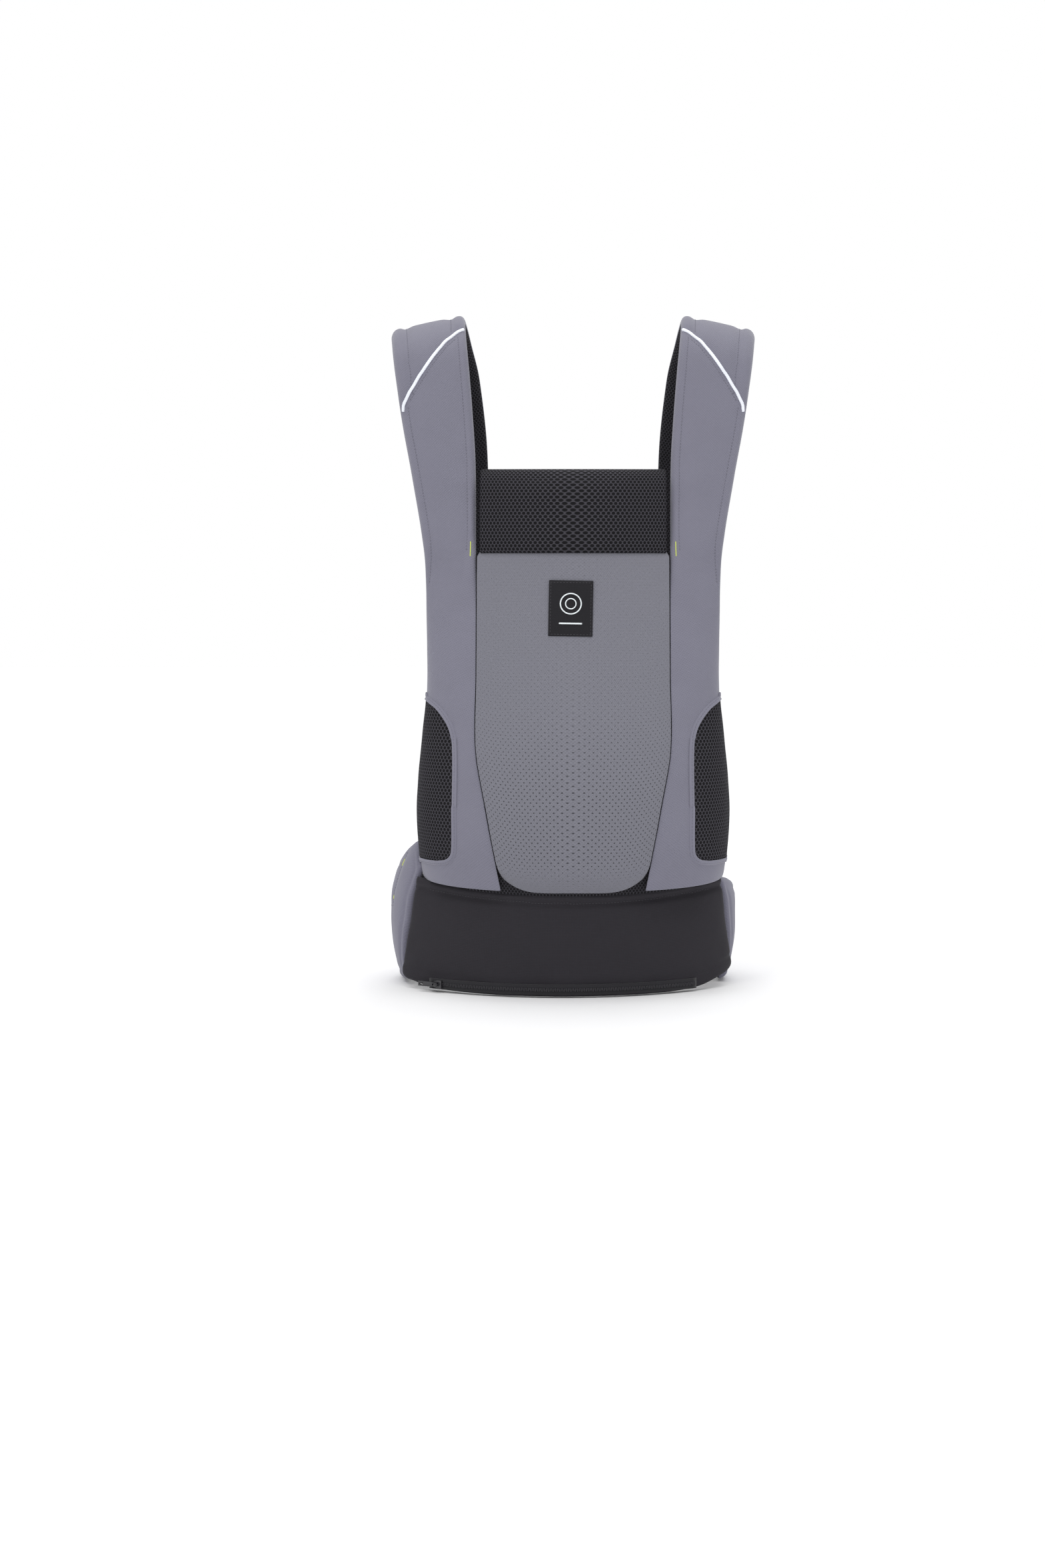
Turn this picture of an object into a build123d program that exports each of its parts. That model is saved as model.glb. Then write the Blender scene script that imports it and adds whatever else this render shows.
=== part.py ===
from build123d import *
from math import atan, copysign, cos, degrees, radians, sin, tan
import os

os.makedirs("parts", exist_ok=True)

# A soft baby carrier standing on its waist belt. Millimetres, +Z up, the outer face of the panel
# towards -Y, the wearer inside the belt loop. A piece for the right is made at +X and mirrored.

# ---- Driving dimensions -----------------------------------------------------------------------
fabric = 2.5                    # outer fabric with its backing
lining_thickness = 2.0
seam_gap = 0.3                  # between pieces that are sewn edge to edge
reach = 260.0                   # longer than any piece, for outlines cut straight through

headrest_base_z = 467.0
headrest_top_z = 561.0
panel_half_width = 103.5
panel_seam_z = 262.0            # below this the centre panel narrows towards the belt
panel_foot_half_width = 72.0
squareness = 0.77               # how square the panel is seen from above
section_steps = 6
# Levels of the body panel: height, half width, y of the rear edge, depth forward of that edge.
body_levels = (
    (106.0, 162.0, -34.0, 85.0),
    (150.0, 168.0, -29.0, 98.0),
    (200.0, 170.0, -28.0, 102.0),
    (260.0, 165.0, -38.0, 87.0),
    (320.0, 158.0, -60.0, 55.0),
    (400.0, 157.5, -74.0, 30.0),
    (headrest_base_z, 159.0, -78.0, 16.0),
)
headrest_levels = (
    (headrest_base_z + seam_gap, 159.0, -78.0, 16.5),
    (500.0, 159.0, -77.0, 22.0),
    (530.0, 159.0, -75.0, 23.0),
    (550.0, 159.0, -71.0, 21.0),
    (headrest_top_z, 159.0, -62.0, 14.0),
)
headrest_thickness = 14.0
label_width, label_height, label_z, label_x = 46.5, 59.5, 410.0, -2.5

# The shoulder strap seen from the side: up the front, over the shoulder, down the back and
# forward again under the arm. Insets are measured inwards from its outer face.
strap_thickness = 17.0
strap_front_y = -92.0
crest_centre = (-20.0, 663.0)
crest_radius = 72.0
back_lean = 8.6                 # degrees the back run leans away from the vertical
back_length = 205.0
underarm_radius = 70.0
underarm_fall = 32.0            # degrees the run under the arm falls towards the front
shoulder_slope = 12.0           # degrees the crest falls from the neck outwards
crest_z = crest_centre[1] + crest_radius
strap_end_x = 136.0
neck_x = 120.0                  # where the crest is at its full height
cover_layer = (0.0, 2.2)
foam_layer = (2.4, 14.6)
lining_layer = (14.8, strap_thickness)
piping_layer = (-1.3, -0.1)

# The belt is an oval of four arcs seen from above, with the pouch on its front.
belt_x, belt_y = -11.0, 4.0
belt_half_width, belt_half_depth = 192.0, 117.0
belt_front_radius = 270.0
belt_thickness = 12.0
belt_axis_z = 58.0
wing_end = 95.0                 # half the gap between the wing ends at the back
pouch_thickness = 11.0

# Webbing and plastic hardware.
web = 1.6
bar_clearance = 0.4
hinge_clearance = 0.08
play = 0.3
strap_web_width, waist_web_width, chest_web_width = 25.0, 38.0, 20.0
bar_depth = 4.0                 # webbing bars, measured along the webbing
bar_height = 5.0


def write(piece, label):
    piece.part.label = label
    export_step(piece.part, f"parts/{label}.step")


def write_pair(piece, label):
    """Write a piece made on the right and its mirror image on the left."""
    write(piece, f"{label}_r")
    with BuildPart() as other:
        mirror(piece.part, about=Plane.YZ)
    write(other, f"{label}_l")


def turned(x, y, degrees):
    return (x * cos(radians(degrees)) - y * sin(radians(degrees)),
            x * sin(radians(degrees)) + y * cos(radians(degrees)))


# ---- Body panel -------------------------------------------------------------------------------
def plan_face(half_width, rear_y, depth, overrun):
    """One level of the body panel seen from above, closed across the back."""
    points = []
    for step in range(-section_steps, section_steps + 1):
        angle = radians(90 * step / section_steps)
        x = half_width * copysign(abs(sin(angle)) ** squareness, sin(angle))
        points.append((x, rear_y - depth * abs(cos(angle)) ** squareness))
    with BuildLine() as outline:
        Spline(*points)
        Polyline(points[-1], (half_width, rear_y + overrun), (-half_width, rear_y + overrun), points[0])
    make_face(outline.edges())


def shell_layer(levels, inset, thickness):
    """One fabric layer of the panel, between two depths under its outer face."""
    with BuildPart() as layer:
        for z, half_width, rear_y, depth in levels:
            with BuildSketch(Plane.XY.offset(z)):
                plan_face(half_width - inset, rear_y, depth - inset, 2.0)
        loft(ruled=True)
        for z, half_width, rear_y, depth in levels:
            with BuildSketch(Plane.XY.offset(z)):
                plan_face(half_width - inset - thickness, rear_y, depth - inset - thickness, 9.0)
        loft(ruled=True, mode=Mode.SUBTRACT)
    return layer.part


def centre_face(grow, mode=Mode.ADD):
    """The centre panel from the front: straight sides that draw in below the seat."""
    top, foot = headrest_top_z + 40, 90.0
    wide, narrow = panel_half_width + grow, panel_foot_half_width + grow
    with BuildLine() as outline:
        Polyline((-wide, panel_seam_z), (-wide, top), (wide, top), (wide, panel_seam_z))
        ThreePointArc((wide, panel_seam_z), (wide - 9.5, 206.0), (narrow, foot))
        Line((narrow, foot), (-narrow, foot))
        ThreePointArc((-narrow, foot), (9.5 - wide, 206.0), (-wide, panel_seam_z))
    make_face(outline.edges(), mode=mode)


def below_hem_face(gap, mode=Mode.ADD):
    """Everything under the sagging top hem of the waist pouch, from the front."""
    with BuildLine() as outline:
        ThreePointArc((-reach, 137.0 + gap), (-5.0, 109.5 + gap), (reach, 137.0 + gap))
        Polyline((reach, 137.0 + gap), (reach, -20.0), (-reach, -20.0), (-reach, 137.0 + gap))
    make_face(outline.edges(), mode=mode)


def mesh_window_face(grow, mode=Mode.ADD):
    """The mesh window on the right flank, from the front: a tall rounded corner, open outwards."""
    inner, sill, head = 125.0 - grow, 138.5 - grow, 319.0 + grow
    with BuildLine() as outline:
        Line((reach, sill), (inner + 12, sill))
        ThreePointArc((inner + 12, sill), (inner + 3.5, sill + 3.5), (inner, sill + 12))
        Line((inner, sill + 12), (inner, 265.0))
        ThreePointArc((inner, 265.0), (inner + 10, 297.0 + grow), (inner + 35, head))
        Polyline((inner + 35, head), (reach, head + 12), (reach, sill))
    make_face(outline.edges(), mode=mode)


body_outer = shell_layer(body_levels, 0.0, fabric)

with BuildPart() as center_panel:
    add(body_outer)
    with BuildSketch(Plane.XZ):
        centre_face(0.0)
        below_hem_face(seam_gap, mode=Mode.SUBTRACT)
    extrude(amount=reach, both=True, mode=Mode.INTERSECT)
write(center_panel, "center_panel")

with BuildPart() as side_panel:
    add(body_outer)
    with BuildSketch(Plane.XZ):
        with Locations((reach / 2, headrest_base_z / 2)):
            Rectangle(reach, headrest_base_z)
        centre_face(seam_gap, mode=Mode.SUBTRACT)
        mesh_window_face(0.0, mode=Mode.SUBTRACT)
        below_hem_face(seam_gap, mode=Mode.SUBTRACT)
    extrude(amount=reach, both=True, mode=Mode.INTERSECT)
write_pair(side_panel, "side_panel")

with BuildPart() as side_mesh:
    add(body_outer)
    with BuildSketch(Plane.XZ):
        mesh_window_face(-seam_gap)
    extrude(amount=reach, both=True, mode=Mode.INTERSECT)
write_pair(side_mesh, "side_mesh")

with BuildPart() as body_lining:
    add(shell_layer(body_levels, fabric + seam_gap, lining_thickness))
    with BuildSketch(Plane.XZ):
        with Locations((0, (headrest_base_z + 90) / 2)):
            Rectangle(2 * 118.0, headrest_base_z - 90)
        below_hem_face(seam_gap, mode=Mode.SUBTRACT)
    extrude(amount=reach, both=True, mode=Mode.INTERSECT)
write(body_lining, "body_lining")

headrest_depths = {"headrest_cover": (0.0, fabric),
                   "headrest_foam": (fabric + seam_gap, headrest_thickness - fabric)}
for label, (inset, thickness) in headrest_depths.items():
    with BuildPart() as headrest:
        add(shell_layer(headrest_levels, inset, thickness))
        with BuildSketch(Plane.XZ):
            with Locations((0, headrest_base_z + 60)):
                Rectangle(2 * panel_half_width - 2 * seam_gap, 140)
        extrude(amount=reach, both=True, mode=Mode.INTERSECT)
    write(headrest, label)

# The sewn label lies on the panel: a slice of the next layer out.
with BuildPart() as label_patch:
    add(shell_layer(body_levels, -1.2, 1.1))
    with BuildSketch(Plane.XZ):
        with Locations((label_x, label_z)):
            Rectangle(label_width, label_height, rotation=-1)
    extrude(amount=reach, both=True, mode=Mode.INTERSECT)
write(label_patch, "label_patch")


# ---- Shoulder straps --------------------------------------------------------------------------
back_out = (cos(radians(back_lean)), sin(radians(back_lean)))        # outward from the back run
back_down = (sin(radians(back_lean)), -cos(radians(back_lean)))      # down along it
underarm_centre = tuple(
    crest_centre[i] + (crest_radius - underarm_radius) * back_out[i] + back_length * back_down[i]
    for i in range(2))
underarm_turn = back_lean + 90 - underarm_fall
end_out = turned(1, 0, back_lean - underarm_turn)                    # outward at the strap's end
run_direction = (-cos(radians(underarm_fall)), -sin(radians(underarm_fall)))
run_normal = (-sin(radians(underarm_fall)), cos(radians(underarm_fall)))
slope_drop = (strap_end_x - neck_x) * tan(radians(shoulder_slope))
strap_end = (underarm_centre[0] + (underarm_radius - strap_thickness / 2) * end_out[0],
             underarm_centre[1] + (underarm_radius - strap_thickness / 2) * end_out[1] - slope_drop)
strap_end_trim = 3.0            # cut back from the end so that it is square across
# Seen from the side, x of this plane runs from the strap's end towards the panel.
run_side = Plane(origin=(strap_end_x, *strap_end), x_dir=(0, *run_direction), z_dir=(-1, 0, 0))


# The strap's side profile is drawn square to the sloping crest, so its heights are shortened.
slope_scale = cos(radians(shoulder_slope))
shoulder_plane = Plane(origin=(neck_x, 0, 0), x_dir=(0, 1, 0),
                       z_dir=(slope_scale, 0, -sin(radians(shoulder_slope))))
profile_crest = (crest_centre[0], crest_z * slope_scale - crest_radius)
profile_lean = degrees(atan(tan(radians(back_lean)) / slope_scale))
profile_fall = degrees(atan(tan(radians(underarm_fall)) * slope_scale))
profile_back_length = 197.6
profile_foot = 440.0            # below the strap's foot, where its front outline cuts it


def strap_side_face(inner_depth, outer_depth):
    """A layer of the strap from the side, between two depths under its outer face."""
    lean, turn = profile_lean, profile_lean + 90 - profile_fall
    back_x, back_y = turned(1, 0, lean)
    underarm = (profile_crest[0] + (crest_radius - underarm_radius) * back_x + profile_back_length * back_y,
                profile_crest[1] + (crest_radius - underarm_radius) * back_y - profile_back_length * back_x)
    end_x, end_y = turned(1, 0, lean - turn)
    feet, ends = [], []
    with BuildLine() as outline:
        for inset in (inner_depth, outer_depth):
            front_y, crest, curl = strap_front_y + inset, crest_radius - inset, underarm_radius - inset
            Line((front_y, profile_foot), (front_y, profile_crest[1]))
            CenterArc(profile_crest, crest, 180, lean - 180)
            Line((profile_crest[0] + crest * back_x, profile_crest[1] + crest * back_y),
                 (underarm[0] + curl * back_x, underarm[1] + curl * back_y))
            CenterArc(underarm, curl, lean, -turn)
            feet.append((front_y, profile_foot))
            ends.append((underarm[0] + curl * end_x, underarm[1] + curl * end_y))
        Line(*feet)
        Line(*ends)
    make_face(outline.edges())


def strap_front_face():
    """The front run: it widens from the panel up to the crest, clear of the headrest."""
    inner, outer, top = panel_half_width, 159.0, crest_z + 30
    foot = headrest_base_z + seam_gap
    with BuildLine() as outline:
        Polyline((outer, foot), (inner, foot), (inner, 560.0))
        ThreePointArc((inner, 560.0), (inner + 6.5, 655.0), (inner + 18.5, top))
        Line((inner + 18.5, top), (outer + 52.5, top))
        ThreePointArc((outer + 52.5, top), (outer + 24.0, 618.0), (outer, foot))
    make_face(outline.edges())


def strap_back_face():
    """The back run: it narrows from the crest down to the tab of the ladder lock."""
    inner, outer, top, foot = panel_half_width - 8, 164.0, crest_z + 30, 330.0
    with BuildLine() as outline:
        Line((inner + 26.5, top), (outer + 47.5, top))
        ThreePointArc((outer + 47.5, top), (outer + 8, 600.0), (outer - 8, 450.0))
        ThreePointArc((outer - 8, 450.0), (outer - 10, 410.0), (strap_end_x + 16, foot))
        Line((strap_end_x + 16, foot), (strap_end_x - 16, foot))
        ThreePointArc((strap_end_x - 16, foot), (inner + 14, 410.0), (inner + 4, 450.0))
        ThreePointArc((inner + 4, 450.0), (inner + 3, 600.0), (inner + 26.5, top))
    make_face(outline.edges())


def strap_layer(inner_depth, outer_depth):
    with BuildPart() as layer:
        with BuildSketch(Plane.XZ.offset(-crest_centre[0])):
            strap_front_face()
        extrude(amount=120)
        with BuildSketch(Plane.XZ.offset(-crest_centre[0])):
            strap_back_face()
        extrude(amount=-150)
        with BuildSketch(shoulder_plane):
            strap_side_face(inner_depth, outer_depth)
        extrude(amount=220, both=True, mode=Mode.INTERSECT)
        with BuildSketch(run_side):
            with Locations((20 - strap_end_trim, 0)):
                Rectangle(40, 60)
        extrude(amount=60, both=True, mode=Mode.SUBTRACT)
    return layer


for label, (inner_depth, outer_depth) in {"strap_cover": cover_layer, "strap_foam": foam_layer,
                                          "strap_lining": lining_layer}.items():
    write_pair(strap_layer(inner_depth, outer_depth), label)

# Reflective piping across the front of each strap, from the neck edge down to the outer edge.
with BuildPart() as piping:
    add(strap_layer(*piping_layer).part)
    with BuildSketch(Plane.XZ.offset(-crest_centre[0])):
        with BuildLine() as piping_line:
            ThreePointArc((119.0, 704.5), (152.0, 680.0), (190.0, 640.0))
        trace(piping_line.edges(), line_width=3.2)
    extrude(amount=120, mode=Mode.INTERSECT)
write_pair(piping, "piping")


# ---- Waist belt -------------------------------------------------------------------------------
belt_half_width_2 = belt_half_width ** 2
front_centre_y = belt_front_radius - belt_half_depth     # of the front arc, behind the belt's middle
side_radius = ((belt_front_radius ** 2 - belt_half_width_2 - front_centre_y ** 2)
               / (2 * (belt_front_radius - belt_half_width)))
side_centre_x = belt_half_width - side_radius
tangent_scale = belt_front_radius / (belt_front_radius - side_radius)
tangent_x = side_centre_x * tangent_scale
tangent_y = front_centre_y - front_centre_y * tangent_scale


def belt_face(outset, mode=Mode.ADD):
    """The oval of the belt from above, grown by an outset."""
    grow = 1 + outset / belt_front_radius
    x = side_centre_x * (belt_front_radius + outset) / (belt_front_radius - side_radius)
    y = front_centre_y - front_centre_y * (belt_front_radius + outset) / (belt_front_radius - side_radius)
    half_depth, half_width = belt_half_depth + outset, belt_half_width + outset
    with BuildLine() as outline:
        ThreePointArc((-x, y), (0, -half_depth), (x, y))
        ThreePointArc((x, y), (half_width, 0), (x, -y))
        ThreePointArc((x, -y), (0, half_depth), (-x, -y))
        ThreePointArc((-x, -y), (-half_width, 0), (-x, y))
    make_face(outline.edges(), mode=mode)


def belt_band(outer_outset, inner_outset, height):
    with BuildPart() as band:
        with BuildSketch(Plane((belt_x, belt_y, 0))):
            belt_face(outer_outset)
            belt_face(inner_outset, mode=Mode.SUBTRACT)
        extrude(amount=height)
    return band.part


def pouch_face():
    """The pouch from the front: its sides flare downwards and its lower corners are turned up."""
    with BuildLine() as outline:
        Line((160.5, 150.0), (-168.5, 150.0))
        ThreePointArc((-168.5, 150.0), (-175.0, 100.0), (-189.0, 24.0))
        ThreePointArc((-189.0, 24.0), (-186.5, 11.0), (-176.0, 7.0))
        ThreePointArc((-176.0, 7.0), (-148.0, 2.0), (-118.0, 0.0))
        Line((-118.0, 0.0), (112.0, 0.0))
        ThreePointArc((112.0, 0.0), (140.0, 3.5), (162.0, 11.0))
        ThreePointArc((162.0, 11.0), (174.0, 17.0), (177.5, 28.0))
        ThreePointArc((177.5, 28.0), (167.5, 90.0), (160.5, 150.0))
    make_face(outline.edges())


with BuildPart() as waist_pouch:
    add(belt_band(0.0, -pouch_thickness, 150.0))
    with BuildSketch(Plane.XZ):
        pouch_face()
    extrude(amount=reach, mode=Mode.INTERSECT)
    with BuildSketch(Plane.XZ):
        below_hem_face(0.0)
    extrude(amount=reach, both=True, mode=Mode.INTERSECT)
write(waist_pouch, "waist_pouch")

wing_outlines = {"l": (134.0, 157.0, -1), "r": (114.0, 118.0, 1)}
wing_layers = {"belt_wing": (0.0, -2.2, 1.5), "belt_pad": (-2.5, -belt_thickness, 0.0)}


def wing_side_face(shoulder_z, peak_z, foot_z):
    """The wing from the side: tall beside the pouch, resting on its belly, narrow at the back."""
    with BuildLine() as outline:
        Polyline((-90.0, foot_z + 8.0), (-90.0, shoulder_z), (-54.0, shoulder_z))
        ThreePointArc((-54.0, shoulder_z), (-49.0, shoulder_z + 0.7 * (peak_z - shoulder_z)), (-38.0, peak_z))
        ThreePointArc((-38.0, peak_z), (30.0, 0.5 * (peak_z + 92.0)), (125.0, 84.0))
        Line((125.0, 84.0), (125.0, 32.0))
        ThreePointArc((125.0, 32.0), (80.0, foot_z + 10.0), (24.0, foot_z))
        ThreePointArc((24.0, foot_z), (-30.0, foot_z + 2.2), (-90.0, foot_z + 8.0))
    make_face(outline.edges())


for side, (shoulder_z, peak_z, sign) in wing_outlines.items():
    for label, (outset, inner_outset, foot_z) in wing_layers.items():
        with BuildPart() as wing:
            add(belt_band(outset, inner_outset, 170.0))
            with BuildSketch(Plane.YZ):
                wing_side_face(shoulder_z, peak_z, foot_z)
            extrude(amount=sign * reach, mode=Mode.INTERSECT)
            with BuildSketch(Plane.XZ):
                pouch_face()
                offset(amount=seam_gap, mode=Mode.REPLACE)
            extrude(amount=reach, mode=Mode.SUBTRACT)
            with BuildSketch():
                with Locations((belt_x, 150.0)):
                    Rectangle(2 * wing_end, 200.0)
            extrude(amount=170.0, mode=Mode.SUBTRACT)
        write(wing, f"{label}_{side}")

# ---- Zip along the foot of the pouch ----------------------------------------------------------
zip_z = 8.5
zip_half_angle = 32.0
zip_tape_height, zip_chain_height = 11.0, 4.2
zip_tape, zip_chain_depth = 0.7, 1.5
zip_centre = (belt_x, belt_y + front_centre_y)


def zip_sector_face(inner_radius, outer_radius, half_angle):
    first, last = -90 - half_angle, -90 + half_angle
    with BuildLine() as outline:
        for radius in (inner_radius, outer_radius):
            CenterArc((0, 0), radius, first, 2 * half_angle)
        for angle in (first, last):
            Line(turned(inner_radius, 0, angle), turned(outer_radius, 0, angle))
    make_face(outline.edges())


tape_radius = belt_front_radius + 0.1 + zip_tape
chain_radius = tape_radius + zip_chain_depth
with BuildPart() as zip_chain:
    with BuildSketch(Plane((*zip_centre, zip_z - zip_tape_height / 2))):
        zip_sector_face(belt_front_radius + 0.1, tape_radius, zip_half_angle)
    extrude(amount=zip_tape_height)
    with BuildSketch(Plane((*zip_centre, zip_z - zip_chain_height / 2))):
        zip_sector_face(tape_radius - 0.2, chain_radius, zip_half_angle)
    extrude(amount=zip_chain_height)
write(zip_chain, "zip_chain")

# The slider straddles the chain; its frame runs along the zip, up, and out of the pouch.
slider_angle = -90.0 - 29.5
slider_length, slider_height, slider_wall = 11.0, 8.6, 1.2
slider_at = turned(tape_radius, 0, slider_angle)
slider_out = turned(1, 0, slider_angle)
slider_plane = Plane(origin=(zip_centre[0] + slider_at[0], zip_centre[1] + slider_at[1], zip_z),
                     x_dir=(-slider_out[1], slider_out[0], 0), z_dir=(slider_out[0], slider_out[1], 0))
slider_top = play + zip_chain_depth + play + slider_wall
lug_radius, pin_radius, ear_radius = 2.5, 1.0, 1.75
pin_height = slider_top + 2.1
lug_half, ear = 0.8, 1.0
puller_length, puller_half_height, puller_thickness = 22.0, 2.6, 1.6

with BuildPart() as zip_slider:
    with BuildSketch(slider_plane.offset(play)):
        with BuildLine() as outline:
            Polyline((-slider_length / 2, -2.6), (-slider_length / 2, 2.6), (1.0, slider_height / 2),
                     (slider_length / 2, slider_height / 2), (slider_length / 2, -slider_height / 2),
                     (1.0, -slider_height / 2), (-slider_length / 2, -2.6))
        make_face()
    extrude(amount=slider_top - play)
    fillet(zip_slider.edges().filter_by(Axis(slider_plane.origin, slider_plane.z_dir)), radius=0.8)
    with BuildSketch(slider_plane.offset(play)):
        Rectangle(slider_length + 2, zip_chain_height + 2 * play)
    extrude(amount=zip_chain_depth, mode=Mode.SUBTRACT)
    lug_plane = Plane(origin=slider_plane.origin, x_dir=slider_plane.x_dir, z_dir=(0, 0, 1))
    with BuildSketch(lug_plane.offset(-lug_half)):
        with BuildLine() as outline:
            Line((-lug_radius, 1 - slider_top), (-lug_radius, -pin_height))
            ThreePointArc((-lug_radius, -pin_height), (0, -pin_height - lug_radius),
                          (lug_radius, -pin_height))
            Line((lug_radius, -pin_height), (lug_radius, 1 - slider_top))
            Line((lug_radius, 1 - slider_top), (-lug_radius, 1 - slider_top))
        make_face()
        with Locations((0, -pin_height)):
            Circle(pin_radius + hinge_clearance, mode=Mode.SUBTRACT)
    extrude(amount=2 * lug_half)
write(zip_slider, "zip_slider")

# The puller's two ears hold a pin through the slider's lug; its tab lies along the zip.
with BuildPart() as zip_puller:
    with BuildSketch(lug_plane):
        with Locations((0, -pin_height)):
            Circle(pin_radius)
    extrude(amount=lug_half + play + ear, both=True)
    for ear_base in (lug_half + play, -lug_half - play - ear):
        with BuildSketch(lug_plane.offset(ear_base)):
            with Locations((0, -pin_height)):
                Circle(ear_radius)
            with Locations((-3.0, -pin_height)):
                Rectangle(6.0, puller_thickness)
        extrude(amount=ear)
    tab_plane = Plane(origin=lug_plane.from_local_coords((0, -pin_height - puller_thickness / 2, 0)),
                      x_dir=slider_plane.x_dir, z_dir=-slider_plane.z_dir)
    with BuildSketch(tab_plane):
        with BuildLine() as outline:
            Polyline((-4.0, -2.1), (-4.0, 2.1), (-9.0, puller_half_height),
                     (-puller_length, puller_half_height), (-puller_length, -puller_half_height),
                     (-9.0, -puller_half_height), (-4.0, -2.1))
        make_face()
        with Locations((4.0 - puller_length, 0)):
            SlotOverall(5.0, 2.4, mode=Mode.SUBTRACT)
    extrude(amount=puller_thickness)
write(zip_puller, "zip_puller")


# ---- Side-release buckle ----------------------------------------------------------------------
# Drawn in a plane whose x runs from the plug into the socket with the mouth at 0, y across the
# webbing and z through the thickness. The two prongs flex about rounded roots held in the plug.
buckle_wall, side_wall = 1.8, 2.4
root_x, root_radius, arm_half = -2.4, 2.2, 1.1
slot_depth = 4.5
near_bar_x, far_bar_x = -13.5, -22.0        # middles of the plug's webbing bars


def buckle_size(web_width):
    """Half width, socket length and thickness of a buckle for a webbing width."""
    return (web_width + 12) / 2, 0.75 * web_width + 20, 0.16 * web_width + 6.4


def buckle_socket(plane, web_width):
    half, length, thickness = buckle_size(web_width)
    cavity_end = 0.66 * length
    notch_radius, notch_depth = 8.75, 3.5
    with BuildPart() as socket:
        with BuildSketch(plane):
            with BuildLine():
                Polyline((length - 7, half - 2), (length, half - 5), (length, 5 - half),
                         (length - 7, 2 - half))
                ThreePointArc((length - 7, 2 - half), (0.5 * length, -half - 0.6), (play, -half))
                Line((play, -half), (play, half))
                ThreePointArc((play, half), (0.5 * length, half + 0.6), (length - 7, half - 2))
            make_face()
        extrude(amount=thickness / 2, both=True)
        outer_faces = socket.faces().filter_by(Axis(plane.origin, plane.z_dir))
        chamfer(outer_faces.edges(), length=1.2)
        with BuildSketch(plane):
            with Locations((cavity_end / 2, 0)):
                Rectangle(cavity_end, 2 * (half - side_wall))
            with Locations((0.46 * length, 0)):
                Rectangle(0.32 * length, 2 * half + 4)
        extrude(amount=thickness / 2 - buckle_wall, both=True, mode=Mode.SUBTRACT)
        with BuildSketch(plane):
            for across in (-1, 1):
                with Locations((0.46 * length, across * (half + notch_radius - notch_depth))):
                    Circle(notch_radius)
            with Locations((length - bar_depth - slot_depth / 2, 0)):
                Rectangle(slot_depth, web_width + 1.6)
        extrude(amount=thickness, both=True, mode=Mode.SUBTRACT)
        for under in (-1, 1):
            with BuildSketch(plane.offset(under * bar_height / 2)):
                with Locations((length, 0)):
                    Rectangle(2 * (bar_depth + slot_depth), 2 * half)
            extrude(amount=under * thickness, mode=Mode.SUBTRACT)
    return socket


def buckle_plug(plane, web_width, adjustable):
    half, length, thickness = buckle_size(web_width)
    root_y = half - 7
    prong_half = thickness / 2 - buckle_wall - play
    bar_xs = (near_bar_x, far_bar_x) if adjustable else (near_bar_x,)
    frame_end = bar_xs[-1] - bar_depth / 2
    shoulder = 6.5
    with BuildPart() as plug:
        with BuildSketch(plane):
            with Locations((-shoulder / 2, 0)):
                Rectangle(shoulder, 2 * half)
        extrude(amount=thickness / 2, both=True)
        back_edges = plug.faces().sort_by(Axis(plane.origin, plane.x_dir))[0].edges()
        fillet(back_edges, radius=1.5)
        with BuildSketch(plane):
            with Locations(((frame_end - shoulder + 1) / 2, 0)):
                RectangleRounded(1 - shoulder - frame_end, web_width + 8, 2.0)
            for bar_x in bar_xs:
                with Locations((bar_x + (bar_depth + slot_depth) / 2, 0)):
                    Rectangle(slot_depth, web_width + 1.6, mode=Mode.SUBTRACT)
        extrude(amount=bar_height / 2, both=True)
        with BuildSketch(plane):
            with BuildLine():
                Polyline((-1, -0.13 * web_width), (0.5 * length, -0.13 * web_width),
                         (0.56 * length, -0.06 * web_width), (0.56 * length, 0.06 * web_width),
                         (0.5 * length, 0.13 * web_width), (-1, 0.13 * web_width),
                         (-1, -0.13 * web_width))
            make_face()
        extrude(amount=prong_half, both=True)
        with BuildSketch(plane):
            for across in (-1, 1):
                with Locations((root_x, across * root_y)):
                    Circle(root_radius + hinge_clearance)
                with Locations((root_x / 2, across * root_y)):
                    Rectangle(-root_x, 2 * (arm_half + 0.6))
        extrude(amount=prong_half + 0.1, both=True, mode=Mode.SUBTRACT)
    return plug


def buckle_prong(plane, web_width, across):
    half, length, thickness = buckle_size(web_width)
    root_y = half - 7
    barb_x = 0.31 * length
    with BuildPart() as prong:
        with BuildSketch(plane):
            with Locations((root_x, across * root_y)):
                Circle(root_radius)
            with BuildLine():
                Polyline((0.60 * length, across * (half - 2.9)), (0.64 * length, across * (half - 6.2)),
                         (0.60 * length, across * (half - 8.0)), (barb_x, across * (root_y - arm_half)),
                         (root_x, across * (root_y - arm_half)), (root_x, across * (root_y + arm_half)),
                         (barb_x, across * (root_y + arm_half)), (barb_x, across * (half - 0.9)))
                ThreePointArc((barb_x, across * (half - 0.9)), (0.45 * length, across * (half - 0.5)),
                              (0.60 * length, across * (half - 2.9)))
            make_face()
        extrude(amount=thickness / 2 - buckle_wall - play, both=True)
    return prong


def webbing(plane, route, width):
    """A flat web of one width, bent along a route seen edge-on in a plane."""
    with BuildPart() as strip:
        with BuildSketch(plane):
            with BuildLine() as line:
                FilletPolyline(*route, radius=1.2)
            trace(line.edges(), line_width=web)
        extrude(amount=width / 2, both=True)
    return strip


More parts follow.
